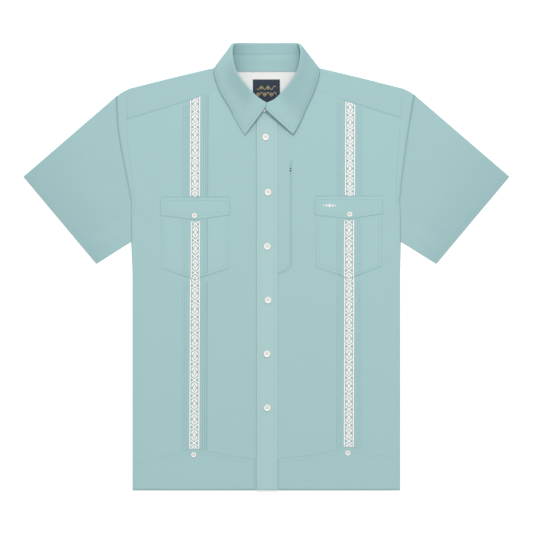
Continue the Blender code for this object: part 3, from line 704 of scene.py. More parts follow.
def make_back():
    """The back: rows from the hem to the yoke seam; its sides turn up to meet the fronts."""
    y = HEM_Y + shares(9.0, 0.6, 1.6, 3.2)[None] * (BACK_SEAM_Y - SEAM - HEM_Y)
    x = blend(side_x(-1, y), side_x(1, y), shares(12.0, 1.2, 3.0, 8.0)[:, None])
    reach = np.minimum(x - side_x(-1, y), side_x(1, y) - x)
    z = CLOTH / 2 + 0.3 * ease(3.0, 0.3, reach) * ease(KINK_Y, KINK_Y - 18, y)
    # painted shade along the back's sides, under the fronts' edges
    cloth("back_panel_cloth", together(x, y, z), BACK, (540, 660), 330e3,
          shade=0.7 * ease(1.2, 0.0, reach))


def make_yoke():
    """The yoke, one piece turned over each shoulder.  Columns run across the shirt; each goes up
    the back, round the shoulder fold in a half circle, and down the front to the yoke seam."""
    low, high = UNDER_Z, FRONT_TOP - FINE / 2
    radius = (high - low) / 2
    inset = radius + FINE / 2
    arm = 1 - edged(70.0, 6.0, (0.4, 1.2, 2.4))[:-1] / 70.0
    kinds = ([("arm", a) for a in arm] + [("fixed", x) for x in np.arange(228.0, NECK_X + 6, -7.0)]
             + [("neck", a) for a in (3.0, 1.2, 0.4, 0.0)])
    back_share, front_share = shares(60.0, 3.0, 8.0, 20.0), shares(62.0, 6.0, 16.0, 40.0)
    turn = np.radians(np.linspace(-80, 80, 11))

    def column(sign, kind, value):
        def x_at(y):
            if kind == "arm":
                return blend(235.0, np.abs(side_x(sign, y)), value)
            if kind == "neck":
                return np.interp(y, NECKLINE[:, 1], NECKLINE[:, 0]) + 0.3 + value
            return 0 * y + value
        if kind == "back":
            centre, seam = BACK_NECK_Y, YOKE_SEAM[0, 1]
        elif kind == "neck":
            centre = read(SHOULDER, NECK_X + value) - inset
            seam = read(YOKE_SEAM, YOKE_SEAM[0, 0] + value)
        else:
            centre = read(SHOULDER, x_at(np.array(ARMHOLE[-1, 0]))) - inset
            seam = read(YOKE_SEAM, x_at(np.array(YOKE_ARM_Y)))
        seam = seam - 0.3
        back_y, front_y = blend(BACK_SEAM_Y, centre, back_share), blend(centre, seam, front_share)
        fold_y = centre + radius * np.cos(turn)
        y = np.concatenate([back_y, fold_y, front_y])
        if kind == "neck":
            x = np.concatenate([0 * back_y + NECK_X + value, 0 * fold_y + NECK_X + value,
                                np.minimum(x_at(front_y), NECK_X + value)])
        else:
            x = x_at(np.concatenate([back_y, 0 * fold_y + centre, front_y]))
        z = np.concatenate([0 * back_y + low, low + radius * (1 + np.sin(turn)),
                            0 * front_y + high])
        hang = np.concatenate([0 * back_y + 99, 0 * fold_y + 99, front_y - seam])
        return np.stack([sign * x, y, z, hang], -1)
    middle = [("back", x) for x in np.linspace(-NECK_X + 7, NECK_X - 7, 18)]
    grid = np.stack([column(-1, *k) for k in kinds] + [column(1, *k) for k in middle]
                    + [column(1, *k) for k in kinds[::-1]])
    x, y, z, hang = np.moveaxis(grid, -1, 0)
    reach = np.abs(side_x(1, y)) * (x > 0) + np.abs(side_x(-1, y)) * (x <= 0) - np.abs(x)
    free = open_seam(reach, x)
    z = z + folds(x, y, YOKE_FOLDS) * (z > 3.9) - 0.18 * free * ease(1.6, 0.0, hang)
    z = z - rolled(reach, 2.2, 0.7) * (z > 3.5)
    i, j = np.indices((len(grid) - 1, grid.shape[1] - 1))
    keep = (j < len(back_share) - 1) | (i < len(kinds) - 1) | (i >= len(grid) - len(kinds))
    # painted shade along the armholes and along the open yoke seam
    cloth("yoke_cloth", together(x, y, z), YOKE, (545, 200), 86e3, "folded", keep=keep,
          uv=np.stack([x, 2 * YOKE_CUT_Y * (z > 2) + y * np.where(z > 2, -1, 1)], -1),
          shade=most(0.5 * ease(2.4, 0.0, reach), 0.18 * free * ease(0.9, 0.0, hang)))


def make_sleeve(side):
    """A sleeve: a flattened tube.  Each ring runs from the shoulder fold over the top to the
    underarm fold in a straight line, round that fold, and back under; rings go from the armhole
    to the cuff, spaced by v.  Its top sinks a little towards the cuff."""
    sign, top = SIDES[side]["sign"], {"right": 307.6, "left": 310.2}[side]
    y_arm = np.concatenate([np.linspace(top, 262, 9)[:-1], np.linspace(262, UNDERARM_Y, 34)])
    share = (top - y_arm) / (top - UNDERARM_Y)
    arm = np.stack([np.abs(side_x(sign, y_arm)) - 1.0, y_arm], -1)
    v = shares(21.0, 3.0, 8.0, 16.0)
    line = blend(arm[None], blend(*CUFF, share[:, None])[None], v[:, None, None])
    high = (blend(*SLEEVE_HIGH, ease(0, 1, v)) - 0.9 * ease(0.018, 0.002, v))[:, None]
    low = UNDER_Z
    radius = (high - low) / 2
    top_way, low_way = unit(line[:, 0] - line[:, 1]), unit(line[:, -1] - line[:, -2])
    line[:, 0] -= top_way * (radius + FINE / 2)
    line[:, -1] -= low_way * (radius + FINE / 2)
    turn = np.radians(np.linspace(15, 165, 9))

    def layer(flat, z):
        return np.concatenate([flat, np.broadcast_to(z, flat.shape[:2])[..., None]], -1)

    def fold(point, way, way_up):
        return layer(point[:, None] + way[:, None] * (radius * np.sin(turn))[..., None],
                     (high + low) / 2 + way_up * radius * np.cos(turn))
    ring = np.concatenate([layer(line, high), fold(line[:, -1], low_way, 1),
                           layer(line[:, ::-1], low), fold(line[:, 0], top_way, -1)], 1)
    ring[..., 0] *= sign
    x, y, z = np.moveaxis(ring, -1, 0)
    z = z + folds(x, y, SLEEVE_FOLDS) * (z > high - 0.1) * ease(0.0, 0.06, v)[:, None]
    # painted shade along the armhole seam, growing towards the cuff where the sleeve lies away from
    # the light, and along the cuff's rolled edge
    shade = 0.5 * ease(0.02, 0.004, v)[:, None] + 0.14 * ease(0.25, 1.1, v)[:, None] + 0 * x
    shade = np.maximum(shade, 0.3 * ease(0.985, 0.995, v)[:, None])
    place = np.stack([0.66 * x + 0.75 * y, 0.75 * x - 0.66 * y + 600 * (z < 2)], -1)
    points, place, shade = (a[::sign] for a in (together(x, y, z), place, shade))
    cloth(f"sleeve_{side}_cloth", points, SLEEVE, (520, 215), 83e3, "folded", around=True,
          uv=place, shade=shade)


# ------------------------------------------------------------------ applied pieces
def patch(x, low, high, share):
    """Rows of points from a lower to an upper edge, along each column of an x."""
    y = blend(low, high, share[None])
    return x + 0 * y, y


def make_pocket(side):
    """A patch pocket with the front's tucks running on down it; its sides and lower edge turn in
    and come down to the front, and its mouth goes up under the flap."""
    s = SIDES[side]
    x_of, heights, shades = across_bands(side, at_x(s["x0"]), at_x(s["x1"]), 3.4)
    mouth, share = s["flap_top"] - 11.0, shares(26.0, 3.0, 9.0, 20.0)[None]
    x = x_of(blend(pointed(s, "point", "corner", x_of(np.zeros((1, 1)))), mouth, share))
    low = pointed(s, "point", "corner", x)
    y = blend(low, mouth, share)
    above = y - low
    edge = least(x - s["x0"], s["x1"] - x, above)
    fade = ease(0.5, 5.0, edge)
    fade = fade * ease(s["flap_side"] + 2, s["flap_side"] - 4, y)
    z = top_z(x, y) + POCKET_RISE - FINE / 2 + heights * fade
    z = z - 0.45 * ease(1.4, 0.0, edge) + ridge(0.08, 1.0, 3.0, 5.0, 7.0, edge)
    # painted shade under the tucks' folds and along the pocket's edges, deepest at its lower point by
    # the band
    foot = ease(18.0, 4.0, above)
    dark = 0.03 + 0.26 * foot * ease(60, 20, np.abs(x - s["band"])) + 0.10 * foot
    w, h = s["x1"] - s["x0"] + 46, s["flap_top"] - s["point"] + 22
    cloth(f"pocket_{side}_cloth", together(x, y, z), TRIM_CLOTH, (w, h), 0.8 * w * h,
          on=[f"front_{side}_cloth"], shade=np.maximum(shades * fade, dark * ease(0.9, 0.1, edge)))


def make_flap(side):
    """A pocket flap: two layers turned through and pressed.  It starts at the seam on the front,
    rises over the pocket and lies level to its pointed lower edge."""
    s = SIDES[side]
    x0, x1 = s["x0"] - 0.6, s["x1"] + 0.6
    x = (x0 + edged(x1 - x0, 3.0))[:, None]
    low = pointed(s, "flap_point", "flap_side", x)
    x, y = patch(x, low, s["flap_top"], shares(90.0, 8.0, 24.0, 55.0))
    down, above = s["flap_top"] - y, y - low
    edge = least(x - x0, x1 - x, above)
    z = top_z(x, y) + blend(0.45, FLAP_RISE, ease(0.0, 10.0, down))
    z = z + ridge(0.06, 1.0, 3.0, 5.0, 7.0, edge) - 0.25 * ease(1.2, 0.0, edge)
    # painted shade along the flap's edges, more along its lower edge, and under the seam at its top
    shade = np.maximum((0.03 + 0.10 * ease(8.0, 2.0, above)) * ease(0.9, 0.1, edge),
                       0.36 * ease(1.3, 0.4, down))
    w, h = x1 - x0, s["flap_top"] - s["flap_point"]
    cloth(f"pocket_flap_{side}_cloth", together(x, y, z), TRIM_CLOTH, (w, h), w * (h - 3.5),
          on=[f"pocket_{side}_cloth", f"front_{side}_cloth"], wall=0.9, rim=0.3, shade=shade)


def make_hem_panel(side):
    """A hem panel: a facing turned up over the front and sewn down along its shaped upper edge.
    Its lower edge rolls round the front's to the back."""
    sign, table = SIDES[side]["sign"], HEM_PANEL_TOP[side]
    x0, x1 = table[0, 0], table[-1, 0]
    if side == "right":
        x1 = x1 - 0.4
    else:
        x0 = x0 + 0.4
    x = (x0 + edged(x1 - x0, 3.2))[:, None]
    top = read(table, x)
    x, y = patch(x, HEM_Y, top, shares(62.0, 6.0, 16.0, 36.0))
    d_side, down, up = SIDE_X - sign * x, top - y, y - HEM_Y
    middle = x1 - x if side == "right" else x - x0
    z = top_z(x, y) + HEM_PANEL_RISE - FINE / 2
    z = z - rolled(d_side, 3.0, 1) * (z - 2.1)
    z = z - 0.3 * ease(1.4, 0.0, down) + ridge(0.05, 0.8, 2.0, 3.0, 5.0, down)
    z = z - rolled(up, 2.2, 1) * (z - 2.3) - 0.35 * ease(1.4, 0.2, middle)
    # painted shade along the upper edge, stronger in some places than others, at the end by the
    # placket and along the rolled hem
    seen = np.interp(sign * x, [0, 40, 110, 175, 241], [0.22, 0.34, 0.30, 0.12, 0.10])
    shade = most(seen * ease(0.9, 0.1, down), 0.3 * ease(1.2, 0.1, middle),
                 0.36 * ease(2.6, 1.2, up))
    w, h = x1 - x0, np.max(table[:, 1]) - HEM_Y + 12
    cloth(f"hem_panel_{side}_cloth", together(x, y, z), HEM_CLOTH, (w, h), 0.85 * w * h,
          on=[f"front_{side}_cloth"], shade=shade)


HOLES_Y = BUTTON_FIRST_Y - BUTTON_PITCH * np.arange(BUTTON_COUNT)


def placket_z(x, y):
    """Middle height of the placket: level, with soft folds and a slight dip at each button."""
    pull = sum(np.exp(-((x - BUTTON_X) / 9) ** 2 - ((y - hole) / 7) ** 2) for hole in HOLES_Y)
    return FRONT_TOP + PLACKET_RISE + folds(x, y, PLACKET_FOLDS) - 0.2 * pull


def make_placket():
    """The placket: a band of two layers down the front edge, its sides pressed round."""
    width = PLACKET_RIGHT - PLACKET_LEFT
    x = (PLACKET_LEFT + edged(width, 2.0))[:, None]
    x, y = patch(x, HEM_Y, front_top(x), shares(7.0, 0.8, 2.0, 4.0))
    left, right, up = x - PLACKET_LEFT, PLACKET_RIGHT - x, y - HEM_Y
    reach = np.minimum(left, right)
    z = placket_z(x, y) - 0.25 * ease(1.3, 0.0, reach) + ridge(0.10, 1.2, 3.0, 5.5, 7.5, reach)
    z = z - 0.30 * ease(1.5, 0.0, right) - 0.3 * ease(2.0, 0.2, up)
    # painted shade along both edges, the sewn one fading towards the neck, and along the rolled hem
    shade = most(0.2 * ease(0.8, 0.1, right) * blend(0.2, 1, ease(230, 180, y)),
                 0.34 * ease(0.8, 0.1, left), 0.36 * ease(2.0, 0.8, up))
    cloth("placket_cloth", together(x, y, z), PLACKET_CLOTH, (width, 682),
          on=["front_left_cloth", "front_right_cloth"], wall=0.9, rim=0.3, shade=shade)


def make_lining():
    """The inner yoke, lying on the back part of the yoke."""
    width = 472.0
    x = (-width / 2 + edged(width, 9.0))[:, None]
    top = np.where(np.abs(x) < NECK_X, BACK_NECK_Y - SEAM, read(SHOULDER, np.abs(x)) - 9.0)
    x, y = patch(x, BACK_SEAM_Y, top, shares(50.0, 4.0, 10.0, 20.0))
    z = 2.05 + 0.25 * np.sin(x / 23.0 + 1.0) * np.sin(y / 17.0) ** 2
    cloth("yoke_lining_cloth", together(x, y, z), LINING, (width, 113), 47.5e3, on=["yoke_cloth"])


LABEL_X, LABEL_LOW, LABEL_TALL = 24.3, 292.0, 45.0      # half width, lower edge and height


def make_label():
    """The woven label: a flat strip with its ends folded under, sewn to the lining."""
    x = (-LABEL_X + edged(2 * LABEL_X, 2.0))[:, None]
    y = (LABEL_LOW + edged(LABEL_TALL, 2.0))[None]
    x, y = x + 0 * y, y + 0 * x
    edge = least(LABEL_X - np.abs(x), y - LABEL_LOW, LABEL_LOW + LABEL_TALL - y)
    z = 3.0 + 0.5 * ease(0.0, 2.5, edge) + 0.15 * np.sin(x / 9.0)
    middle = LABEL_LOW + LABEL_TALL / 2
    cloth("neck_label_cloth", together(x, y, z), NAVY, (2 * LABEL_X, LABEL_TALL),
          on=["yoke_lining_cloth"], wall=0.6, uv=np.stack([x, y - middle], -1))


def make_label_ornament():
    """Two rows of a trailing vine in gold thread: a wave, with a small leaf loop at every second
    bend.
    """
    paths, k, a = [], TAU / 12.0, np.linspace(0, TAU, 18)
    for row, height, reach in ((321.8, 3.2, 17.0), (310.2, 3.4, 18.5)):
        x = np.linspace(-reach, reach, 120)
        paths.append(together(x, row + height * np.sin(k * x), 3.98))
        bends = (np.arange(-3, 4) * 0.5 + 0.25) * TAU / k
        for bend in bends[np.abs(bends) < reach - 2][::2]:
            up = 1 if math.sin(k * bend) > 0 else -1
            paths.append(together(bend + 1.5 * np.sin(a), row - up * (0.9 + 1.6 * np.cos(a)), 4.0))
    tubes("neck_label_vine", paths, 0.55, GOLD)


def make_welt():
    """The lips of the hidden pocket: a low rounded fold down the front and round to the placket."""
    path = path_on([(SLIT_X, SLIT_TOP), (SLIT_X, 5.0), (42.8, -0.5), (39.5, -4.0), (35.2, -6.6),
                    SLIT_FOOT, (20.6, -12.6)], top_z, 4.0)
    side = unit(np.cross(unit(np.gradient(path, axis=0)), (0, 0, 1.0)))
    across, high, dark = np.array([  # of the half width, height, painted shade
        (-1.0, -0.2, 0.12), (-0.93, 0.12, 0.05), (-0.55, 0.30, 0), (-0.16, 0.24, 0.05),
        (-0.04, 0.0, 0.4), (0.04, 0.0, 0.4), (0.16, 0.24, 0.05), (0.55, 0.30, 0),
        (0.93, 0.12, 0.05), (1.0, -0.2, 0.12)]).T
    grid = path[:, None] + side[:, None] * (1.25 * across)[None, :, None]
    grid[..., 2] += high
    cloth("front_left_pocket_welt", grid, BODY, (10, 222), 800, "folded",
          on=["front_left_cloth"], wall=0.2, rim=0, shade=dark)


# ------------------------------------------------------------------ collar
def collar_points(station, sign, leaf_at, part):
    """Points of the collar at stations 0 (front edge) to 10 (middle of the back).  A section is
    the leaf, a soft curve from its free edge up to the roll, a half circle over the roll, and a
    run down inside towards the neck seam: its middle part is the leaf's, its lower the stand's."""
    row = through(COLLAR, station)
    press = blend(COLLAR_PRESS, 1, ease(0, 2.5, station))[:, None]
    row[:, 2:9:3] = COLLAR_REST + (row[:, 2:9:3] - COLLAR_REST) * press
    roll, free, neck = row[:, 0:3], row[:, 3:6], row[:, 6:9]
    way = unit((roll - free) * (1, 1, 0))
    outward = np.stack([-way[:, 1], way[:, 0], 0 * way[:, 0]], -1)
    outward *= np.where(outward[:, :1] > 0, -1, 1)
    turn = np.radians(np.clip(row[:, 9:10], 0, 180))
    out = np.array([0, 0, 1.0]) * np.cos(turn) + outward * np.sin(turn)
    radius = blend(ROLL_FRONT, ROLL_BACK, ease(5, 8, station))[:, None]
    centre = roll - way * radius
    crown, inner = centre + out * radius, centre - out * radius
    front = np.clip(1 - station, 0, 1)[:, None]        # fades from the front edge
    t = leaf_at[None, :, None]
    if part == "leaf":
        leaf = blend(free[:, None], crown[:, None], t)
        bow = LEAF_BOW * np.maximum(0, out[:, 2])[:, None, None] * t * (1 - t)
        leaf = leaf + out[:, None] * bow
        leaf[..., 0] += read(FRONT_EDGE_BOW[sign], leaf_at)[None] * front
        b = np.radians(np.linspace(0, 180, 13)[1:-1])[None, :, None]
        over = (centre[:, None] + way[:, None] * radius[:, None] * np.sin(b)
                + out[:, None] * radius[:, None] * np.cos(b))
        down = blend(inner[:, None], neck[:, None], np.linspace(0, STAND_SHARE, 7)[None, :, None])
        inside = np.concatenate([over, down], 1)
        inside[..., 0] += FRONT_EDGE_BOW[sign][-1, 1] * front
        points = np.concatenate([leaf, inside], 1)
    else:
        first = (STAND_SHARE - 0.03 + 0.22 * front)[:, None]
        t = first + (1 - first) * t
        points = blend(inner[:, None], neck[:, None], t)
        points[..., 0] += STAND_END[sign] * front
        back = unit(np.cross(neck - inner, np.gradient(inner, axis=0)))
        points = points - back[:, None] * 0.3 * ease(0.55, 0.35, t)
    points[..., 2] += (LAP_RISE * (1 - ease(0, 3, station)) * (sign > 0))[:, None]
    points[..., 0] = -sign * points[..., 0] + read(COLLAR_SKEW, points[..., 1])
    return points


def make_collar(part, flat, area, leaf_at):
    """The leaf or the stand, from one front edge round the back to the other.  Gives its points."""
    stations = np.concatenate([[0, 0.012, 0.04, 0.1, 0.2], np.linspace(0.32, 10, 68)])
    points = np.concatenate([collar_points(stations, -1, leaf_at, part),
                             collar_points(stations[:-1], 1, leaf_at, part)[::-1]])
    x, y, z = np.moveaxis(points, -1, 0)
    at = np.concatenate([stations, stations[-2::-1]])[:, None]
    left = np.arange(len(at))[:, None] >= len(stations)          # the wearer's left half
    n = len(leaf_at)
    # painted shade: deepest in the back corners inside the collar and in a line down each inner side;
    # along the stand's neck seam and at its front; under the roll's crest
    corners = np.interp(x, [-60, -50, -36, -15, 0, 30, 48, 60],
                        [0.55, 0.42, 0.24, 0.13, 0.08, 0.11, 0.18, 0.45])
    shade = most(corners * blend(0.75, 1.0, ease(376, 386, y)) * ease(6.6, 7.4, at),
                 0.75 * ease(2.8, 4.2, at) * ease(8.0, 7.3, at))
    first_inside = n + 9 if part == "leaf" else 0
    inside = ease(7.0, 8.0, at) * (np.arange(z.shape[1]) >= first_inside)
    z = z + folds(x, y, INNER_FOLDS) * inside
    if part == "stand":
        shade = most(shade, 0.18 * ease(354.0, 352.0, y) * ease(7.5, 8.5, at),
                     0.10 * ease(3.0, 2.0, at))
    else:
        shade = most(shade, 0.20 * ease(395.0, 399.5, y) * ease(7, 8, at),
                     0.08 * ease(388.0, 396.0, y))
        # painted shade over the leaf where it slopes from the light, along its free edge, and darkest
        # along its front edges
        near = ease(0.3, 0.8, leaf_at)[None]
        window = ease(1.2, 2.6, at) * ease(8.0, 6.5, at)
        rim = ease(0.045, 0.016, leaf_at)[None] * ease(7.0, 6.0, at)
        rim = rim * np.where(left, 0.72, blend(0.2, 0.6, ease(2.0, 3.2, at)))
        shade[:, :n + 6] = 0
        shade[:, :n] = np.where(left, 0.13 + 0.08 * near, 0.22 * near * ease(5.5, 4.0, at)) * window
        shade[:, :n] = most(shade[:, :n], rim)
        shade[:, :n + 6] = most(shade[:, :n + 6], 0.95 * ease(0.09, 0.0, at))
        z[:, :n] = z[:, :n] + folds(x[:, :n], y[:, :n], COLLAR_FOLDS) * ease(0, 0.3, leaf_at)
    place = together(along(points[:, 0])[:, None], along(points[len(stations) // 2])[None])
    points = together(x, y, z)
    cloth(f"collar_{part}_cloth", points, COLLAR_CLOTH, flat, area, "folded", wall=1.1, rim=0.35,
          uv=place, shade=shade)
    return points


# ------------------------------------------------------------------ buttons and slider
DISC = np.array([  # part of the radius, part of the depth: across the top
    (0.0, 0.62), (0.1, 0.62), (0.2, 0.62), (0.28, 0.62), (0.36, 0.62), (0.46, 0.63), (0.58, 0.66),
    (0.68, 0.74), (0.76, 0.88), (0.84, 1.0), (0.92, 0.98), (0.97, 0.84), (1.0, 0.6)])
DISC_UNDER = ((1.0, 0.35), (0.96, 0.15), (0.86, 0.0), (0.4, 0.0))     # and down and under the side


def set_down(points, place, turn, tilt):
    """Turns points about Z by an angle in radians, then about X by one in degrees; moves them."""
    c, s, a = math.cos(turn), math.sin(turn), math.radians(tilt)
    return points @ np.array([[c, s, 0], [-s, c, 0], [0, 0, 1]]) @ np.array(
        [[1, 0, 0], [0, math.cos(a), math.sin(a)], [0, -math.sin(a), math.cos(a)]]) + place


def make_button(node, x, y, z, radius, depth, sewn, turn=0.0, tilt=0.0):
    """A button with its underside at z: a profile carried round in a full turn.  Its top is a low
    dish inside a rounded rim, with four holes sunk as narrow bells; its underside is flat.  Gives
    the two bars of thread, sewn this far up, that cross it from hole to hole."""
    count, spread = 48, radius * 0.30
    around = np.arange(count) * TAU / count
    r, a = np.meshgrid(DISC[:, 0] * radius, around, indexing="ij")
    sink = sum(np.exp(-((r * np.cos(a) - spread * np.cos(h)) ** 2
                        + (r * np.sin(a) - spread * np.sin(h)) ** 2) / 0.6 ** 2)
               for h in math.pi / 4 + np.arange(4) * TAU / 4)
    sink = np.minimum(sink, 1)
    top = together(r * np.cos(a), r * np.sin(a), DISC[:, 1:] * depth - 0.7 * depth * sink)
    under = [together(radius * s * np.cos(around), radius * s * np.sin(around), h * depth)
             for s, h in DISC_UNDER]
    grid = np.concatenate([top, np.stack(under)])
    points = np.append(grid.reshape(-1, 3), [[0, 0, 0]], 0)
    # painted shade in the sunk holes, carried by the shade mark
    hub, dark = len(points) - 1, np.zeros(len(points))
    dark[:sink.size] = sink.ravel()
    last = hub - count + np.arange(count)
    fan = together(last, np.roll(last, -1), hub)
    mesh = raw_mesh(f"{node}_disc", set_down(points, (x, y, z), turn, tilt),
                    grid_faces(len(grid), count, around=True).tolist() + fan.tolist(), shade=dark)
    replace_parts(link(f"{node}_disc", seal(mesh), PEARL), node)
    t, a = np.linspace(-1, 1, 7), math.radians(tilt)
    bars = [together(side * 0.24 * radius * 0.707, t * 0.24 * radius * 0.707 * 1.15,
                     0.22 * np.sqrt(1 - 0.9 * t * t)) for side in (-1, 1)]
    return [set_down(bar, (x, y, z + sewn), turn, tilt) + (0, -math.sin(a), math.cos(a))
            for bar in bars]


def make_slider():
    """The hidden pocket's slider: a rounded plate (a rounded rectangle carried up through levels
    that pull in at top and bottom) with a bridge, a thin bar carried over a half ring."""
    around = np.arange(40) * TAU / 40
    ring = [np.sign(way) * np.abs(way) ** 0.5 for way in (np.cos(around), np.sin(around))]
    plate = np.stack([together(ring[0] * 1.3 * r, ring[1] * 3.4 * r, h) for r, h in (
        (0.0, 0.0), (0.75, 0.0), (0.97, 0.14), (1.0, 0.4), (0.95, 0.7), (0.8, 0.84), (0.5, 0.88),
        (0.0, 0.88))])
    t = np.linspace(0, np.pi, 17)[:, None]
    b = (np.arange(10) * TAU / 10)[None]
    size = 0.38 * np.minimum(1, np.minimum(t, np.pi - t) / 0.02 + 1)
    bridge = together(size * 1.3 * np.cos(b), -2.2 * np.cos(t) + size * np.sin(b) * np.cos(t),
                      0.7 + (0.85 + size * np.sin(b)) * np.sin(t))
    points, faces = joined([(grid.reshape(-1, 3), grid_faces(*grid.shape[:2], around=True))
                            for grid in (plate, bridge)])
    mesh = raw_mesh("zip_slider_body", points + (*SLIDER_AT, float(top_z(*SLIDER_AT)) + 0.12), faces)
    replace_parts(link("zip_slider_body", seal(mesh), METAL), "zip_slider")


# ------------------------------------------------------------------ embroidery
def satin(pairs, rise, samples):
    """Satin-stitched shapes.  Each shape is the ground between two edge lines; a ring at each
    sample goes from one edge up over a dome, rise (4 t (1 - t))^0.5 high, to the other and back
    below; first and last rings close to a point.  Gives points, faces, and each point's place
    along the shape and across it."""
    t = np.array([0.0, 0.14, 0.5, 0.86, 1.0])
    high, across = np.append(rise * np.sqrt(4 * t * (1 - t)), -0.12), np.append(t, 0.5)
    s = np.concatenate([[0.0], np.linspace(0, 1, samples), [1.0]])
    parts = []
    for edges in pairs:
        a, b = (np.stack([np.interp(s, along(edge) / along(edge)[-1], column)
                          for column in np.transpose(edge)], -1) for edge in edges)
        flat = blend(a[:, None], b[:, None], across[None, :, None])
        flat[[0, -1]] = flat[[0, -1]].mean(axis=1, keepdims=True)
        width = np.linalg.norm(b - a, axis=-1)[:, None]
        z = high * np.where(high > 0, np.minimum(1, width / 1.6), 1)
        z[[0, -1]] = 0
        run = along(a * 0.5 + b * 0.5)[:, None]
        parts.append((together(flat[..., 0], flat[..., 1], z).reshape(-1, 3),
                      grid_faces(len(s), 6, around=True),
                      together(run, across[None] * width).reshape(-1, 2)))
    return joined(parts)


BANDS = {  # a diamond's y, period, how far the middle stands off the band's line
    ("right", "chest"): (209.4, 27.75, -0.85), ("right", "pocket"): (32.6, 29.2, 0.4),
    ("right", "skirt"): (-246.6, 28.35, 0.0), ("left", "chest"): (258.9, 27.5, 0.8),
    ("left", "pocket"): (36.5, 28.75, -0.6), ("left", "skirt"): (-271.4, 28.35, 0.0),
}
ARCH_INNER, ARCH_OUTER = [(0, 7.1), (3.95, 1.0)], [(0, 11.5), (5.65, 6.4), (5.65, 2.2)]


def motif_edges(period):
    """Edge lines of one repeat of the band, about a diamond's middle: the diamond, the four
    quarters of the arches over and under it and one bar of the crossing that follows it; and the
    crossing's other bar, which lies over the rest."""
    shapes = [([(0, 6.4), (-3.45, 0), (0, -6.4)], [(0, 6.4), (3.45, 0), (0, -6.4)])]
    shapes += [(np.array(ARCH_INNER) * (a, b), np.array(ARCH_OUTER) * (a, b))
               for a in (1, -1) for b in (1, -1)]
    for a in (1, -1):
        line = np.array([(-6.6 * a, -5.2), (6.6 * a, 5.2)])
        way = unit(line[1] - line[0])
        side, half = np.array([-way[1], way[0]]) * BAR_HALF, (0, period / 2)
        shapes.append((line + side + half, line - side + half))
    return shapes[:-1], shapes[-1:]


def make_band(side, part):
    """A trim band: a strip of ground cloth with its repeat worked on it in white satin stitch,
    between two satin rails, cut off at the strip's two ends."""
    s, (phase, period, shift) = SIDES[side], BANDS[side, part]

    def pocket_edge(x):
        return pointed(s, "point", "corner", x)
    low, high = {
        "chest": (at_x(s["flap_top"] + 0.4), lambda x: front_top(x) - 0.5),
        "pocket": (lambda x: pocket_edge(x) + 0.3, at_x(s["flap_point"] - 2.0)),
        "skirt": (lambda x: read(HEM_PANEL_TOP[side], x) + 0.3, lambda x: pocket_edge(x) - 0.4),
    }[part]
    level, under = (0.6, "pocket") if part == "pocket" else (0.2, "front")
    slim = 0.9 if (side, part) == ("right", "pocket") else 1.0
    offset = (edged(BAND_WIDTH, 3.0, (0.3, 0.8, 1.4))[:, None] - BAND_WIDTH / 2) * slim
    share = shares(16.0, 2.0, 5.0, 9.0)[None]
    x = band_x(side, phase) + shift + offset
    x = band_x(side, blend(low(x), high(x), share)) + shift + offset
    y = blend(low(x), high(x), share)
    name, length = f"band_{side}_{part}", np.ptp(y)
    # its darkened ground shows as painted shade between the stitches
    cloth(name + "_ground", together(x, y, top_z(x, y) + level + 0.2), SHADE_DARKENED_GROUND,
          (BAND_WIDTH, length), BAND_WIDTH * length, on=[f"{under}_{side}_cloth"], wall=0.4, rim=0.12)
    rails = [[[(a * out, y.min() - 2), (a * out, y.max() + 2)] for out in RAIL]
             for a in (-1, 1)]
    repeats = np.arange(math.floor((y.min() - phase) / period) - 1,
                        math.ceil((y.max() - phase) / period) + 2)
    shapes, crossed = ([[np.add(edge, (0, phase + period * k)) for edge in pair]
                        for k in repeats for pair in pairs] for pairs in motif_edges(period))
    rail_rows = max(3, int(along(rails[0][0])[-1] / 6.0) + 2)
    points, faces, place = joined([satin(rails, 0.24, rail_rows), satin(shapes, 0.18, 7),
                                   satin(crossed, 0.28, 7)])
    px, py, pz = points.T
    px = band_x(side, py) + shift + px * slim
    bottom, top = low(px), high(px)
    gone = (py <= bottom) | (py >= top)
    used, faces = np.unique(faces[~gone[faces].all(axis=1)], return_inverse=True)
    close = ease(0.0, 0.8, np.minimum(py - bottom, top - py))
    py = np.clip(py, bottom, top)
    pz = top_z(px, py) + level + 0.38 + np.where(pz > 0, pz * close, pz)
    mesh = raw_mesh(name + "_satin", together(px, py, pz)[used], faces.reshape(-1, 4), place[used])
    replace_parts(link(name + "_satin", mesh, WHITE_SATIN), name)


def make_flap_motif():
    """A row of five diamonds that grow towards its middle, worked on the wearer's left flap."""
    diamonds = [[[(c - w, 0), (c, h), (c + w, 0)], [(c - w, 0), (c, -h), (c + w, 0)]]
                for c, w, h in ((-10.0, 1.7, 1.9), (-5.5, 2.2, 3.2), (0.0, 2.7, 4.9),
                                (5.5, 2.2, 3.2), (10.0, 1.7, 1.9))]
    points, faces, place = satin(diamonds, 0.45, 11)
    c, s = math.cos(MOTIF_TURN), math.sin(MOTIF_TURN)
    x = MOTIF_AT[0] + points[:, 0] * c - points[:, 1] * s
    y = MOTIF_AT[1] + points[:, 0] * s + points[:, 1] * c
    z = top_z(x, y) + FLAP_RISE + 0.45 + points[:, 2]
    link("flap_motif_satin", raw_mesh("flap_motif_satin", together(x, y, z), faces, place),
         WHITE_SATIN)


# ------------------------------------------------------------------ topstitching
NEAR, WIDE = 1.3, 6.6                       # the two rows of a topstitched edge, in from it
FACING = ([92, 130, 195, 234, 270, 307], [5.5, 8.0, 12.0, 14.2, 19.0, 20.0])   # y, width


def path_on(corners, height, step=2.0):
    """A path through corners on the cloth, at the height that a function of x and y gives."""
    run = along(corners)[-1]
    x, y = on_path(corners, np.linspace(0, run, max(2, int(run / step) + 1))).T
    return together(x, y, height(x, y))


def raised(height):
    """A height over the fronts, as a function of x and y."""
    return lambda x, y: top_z(x, y) + height


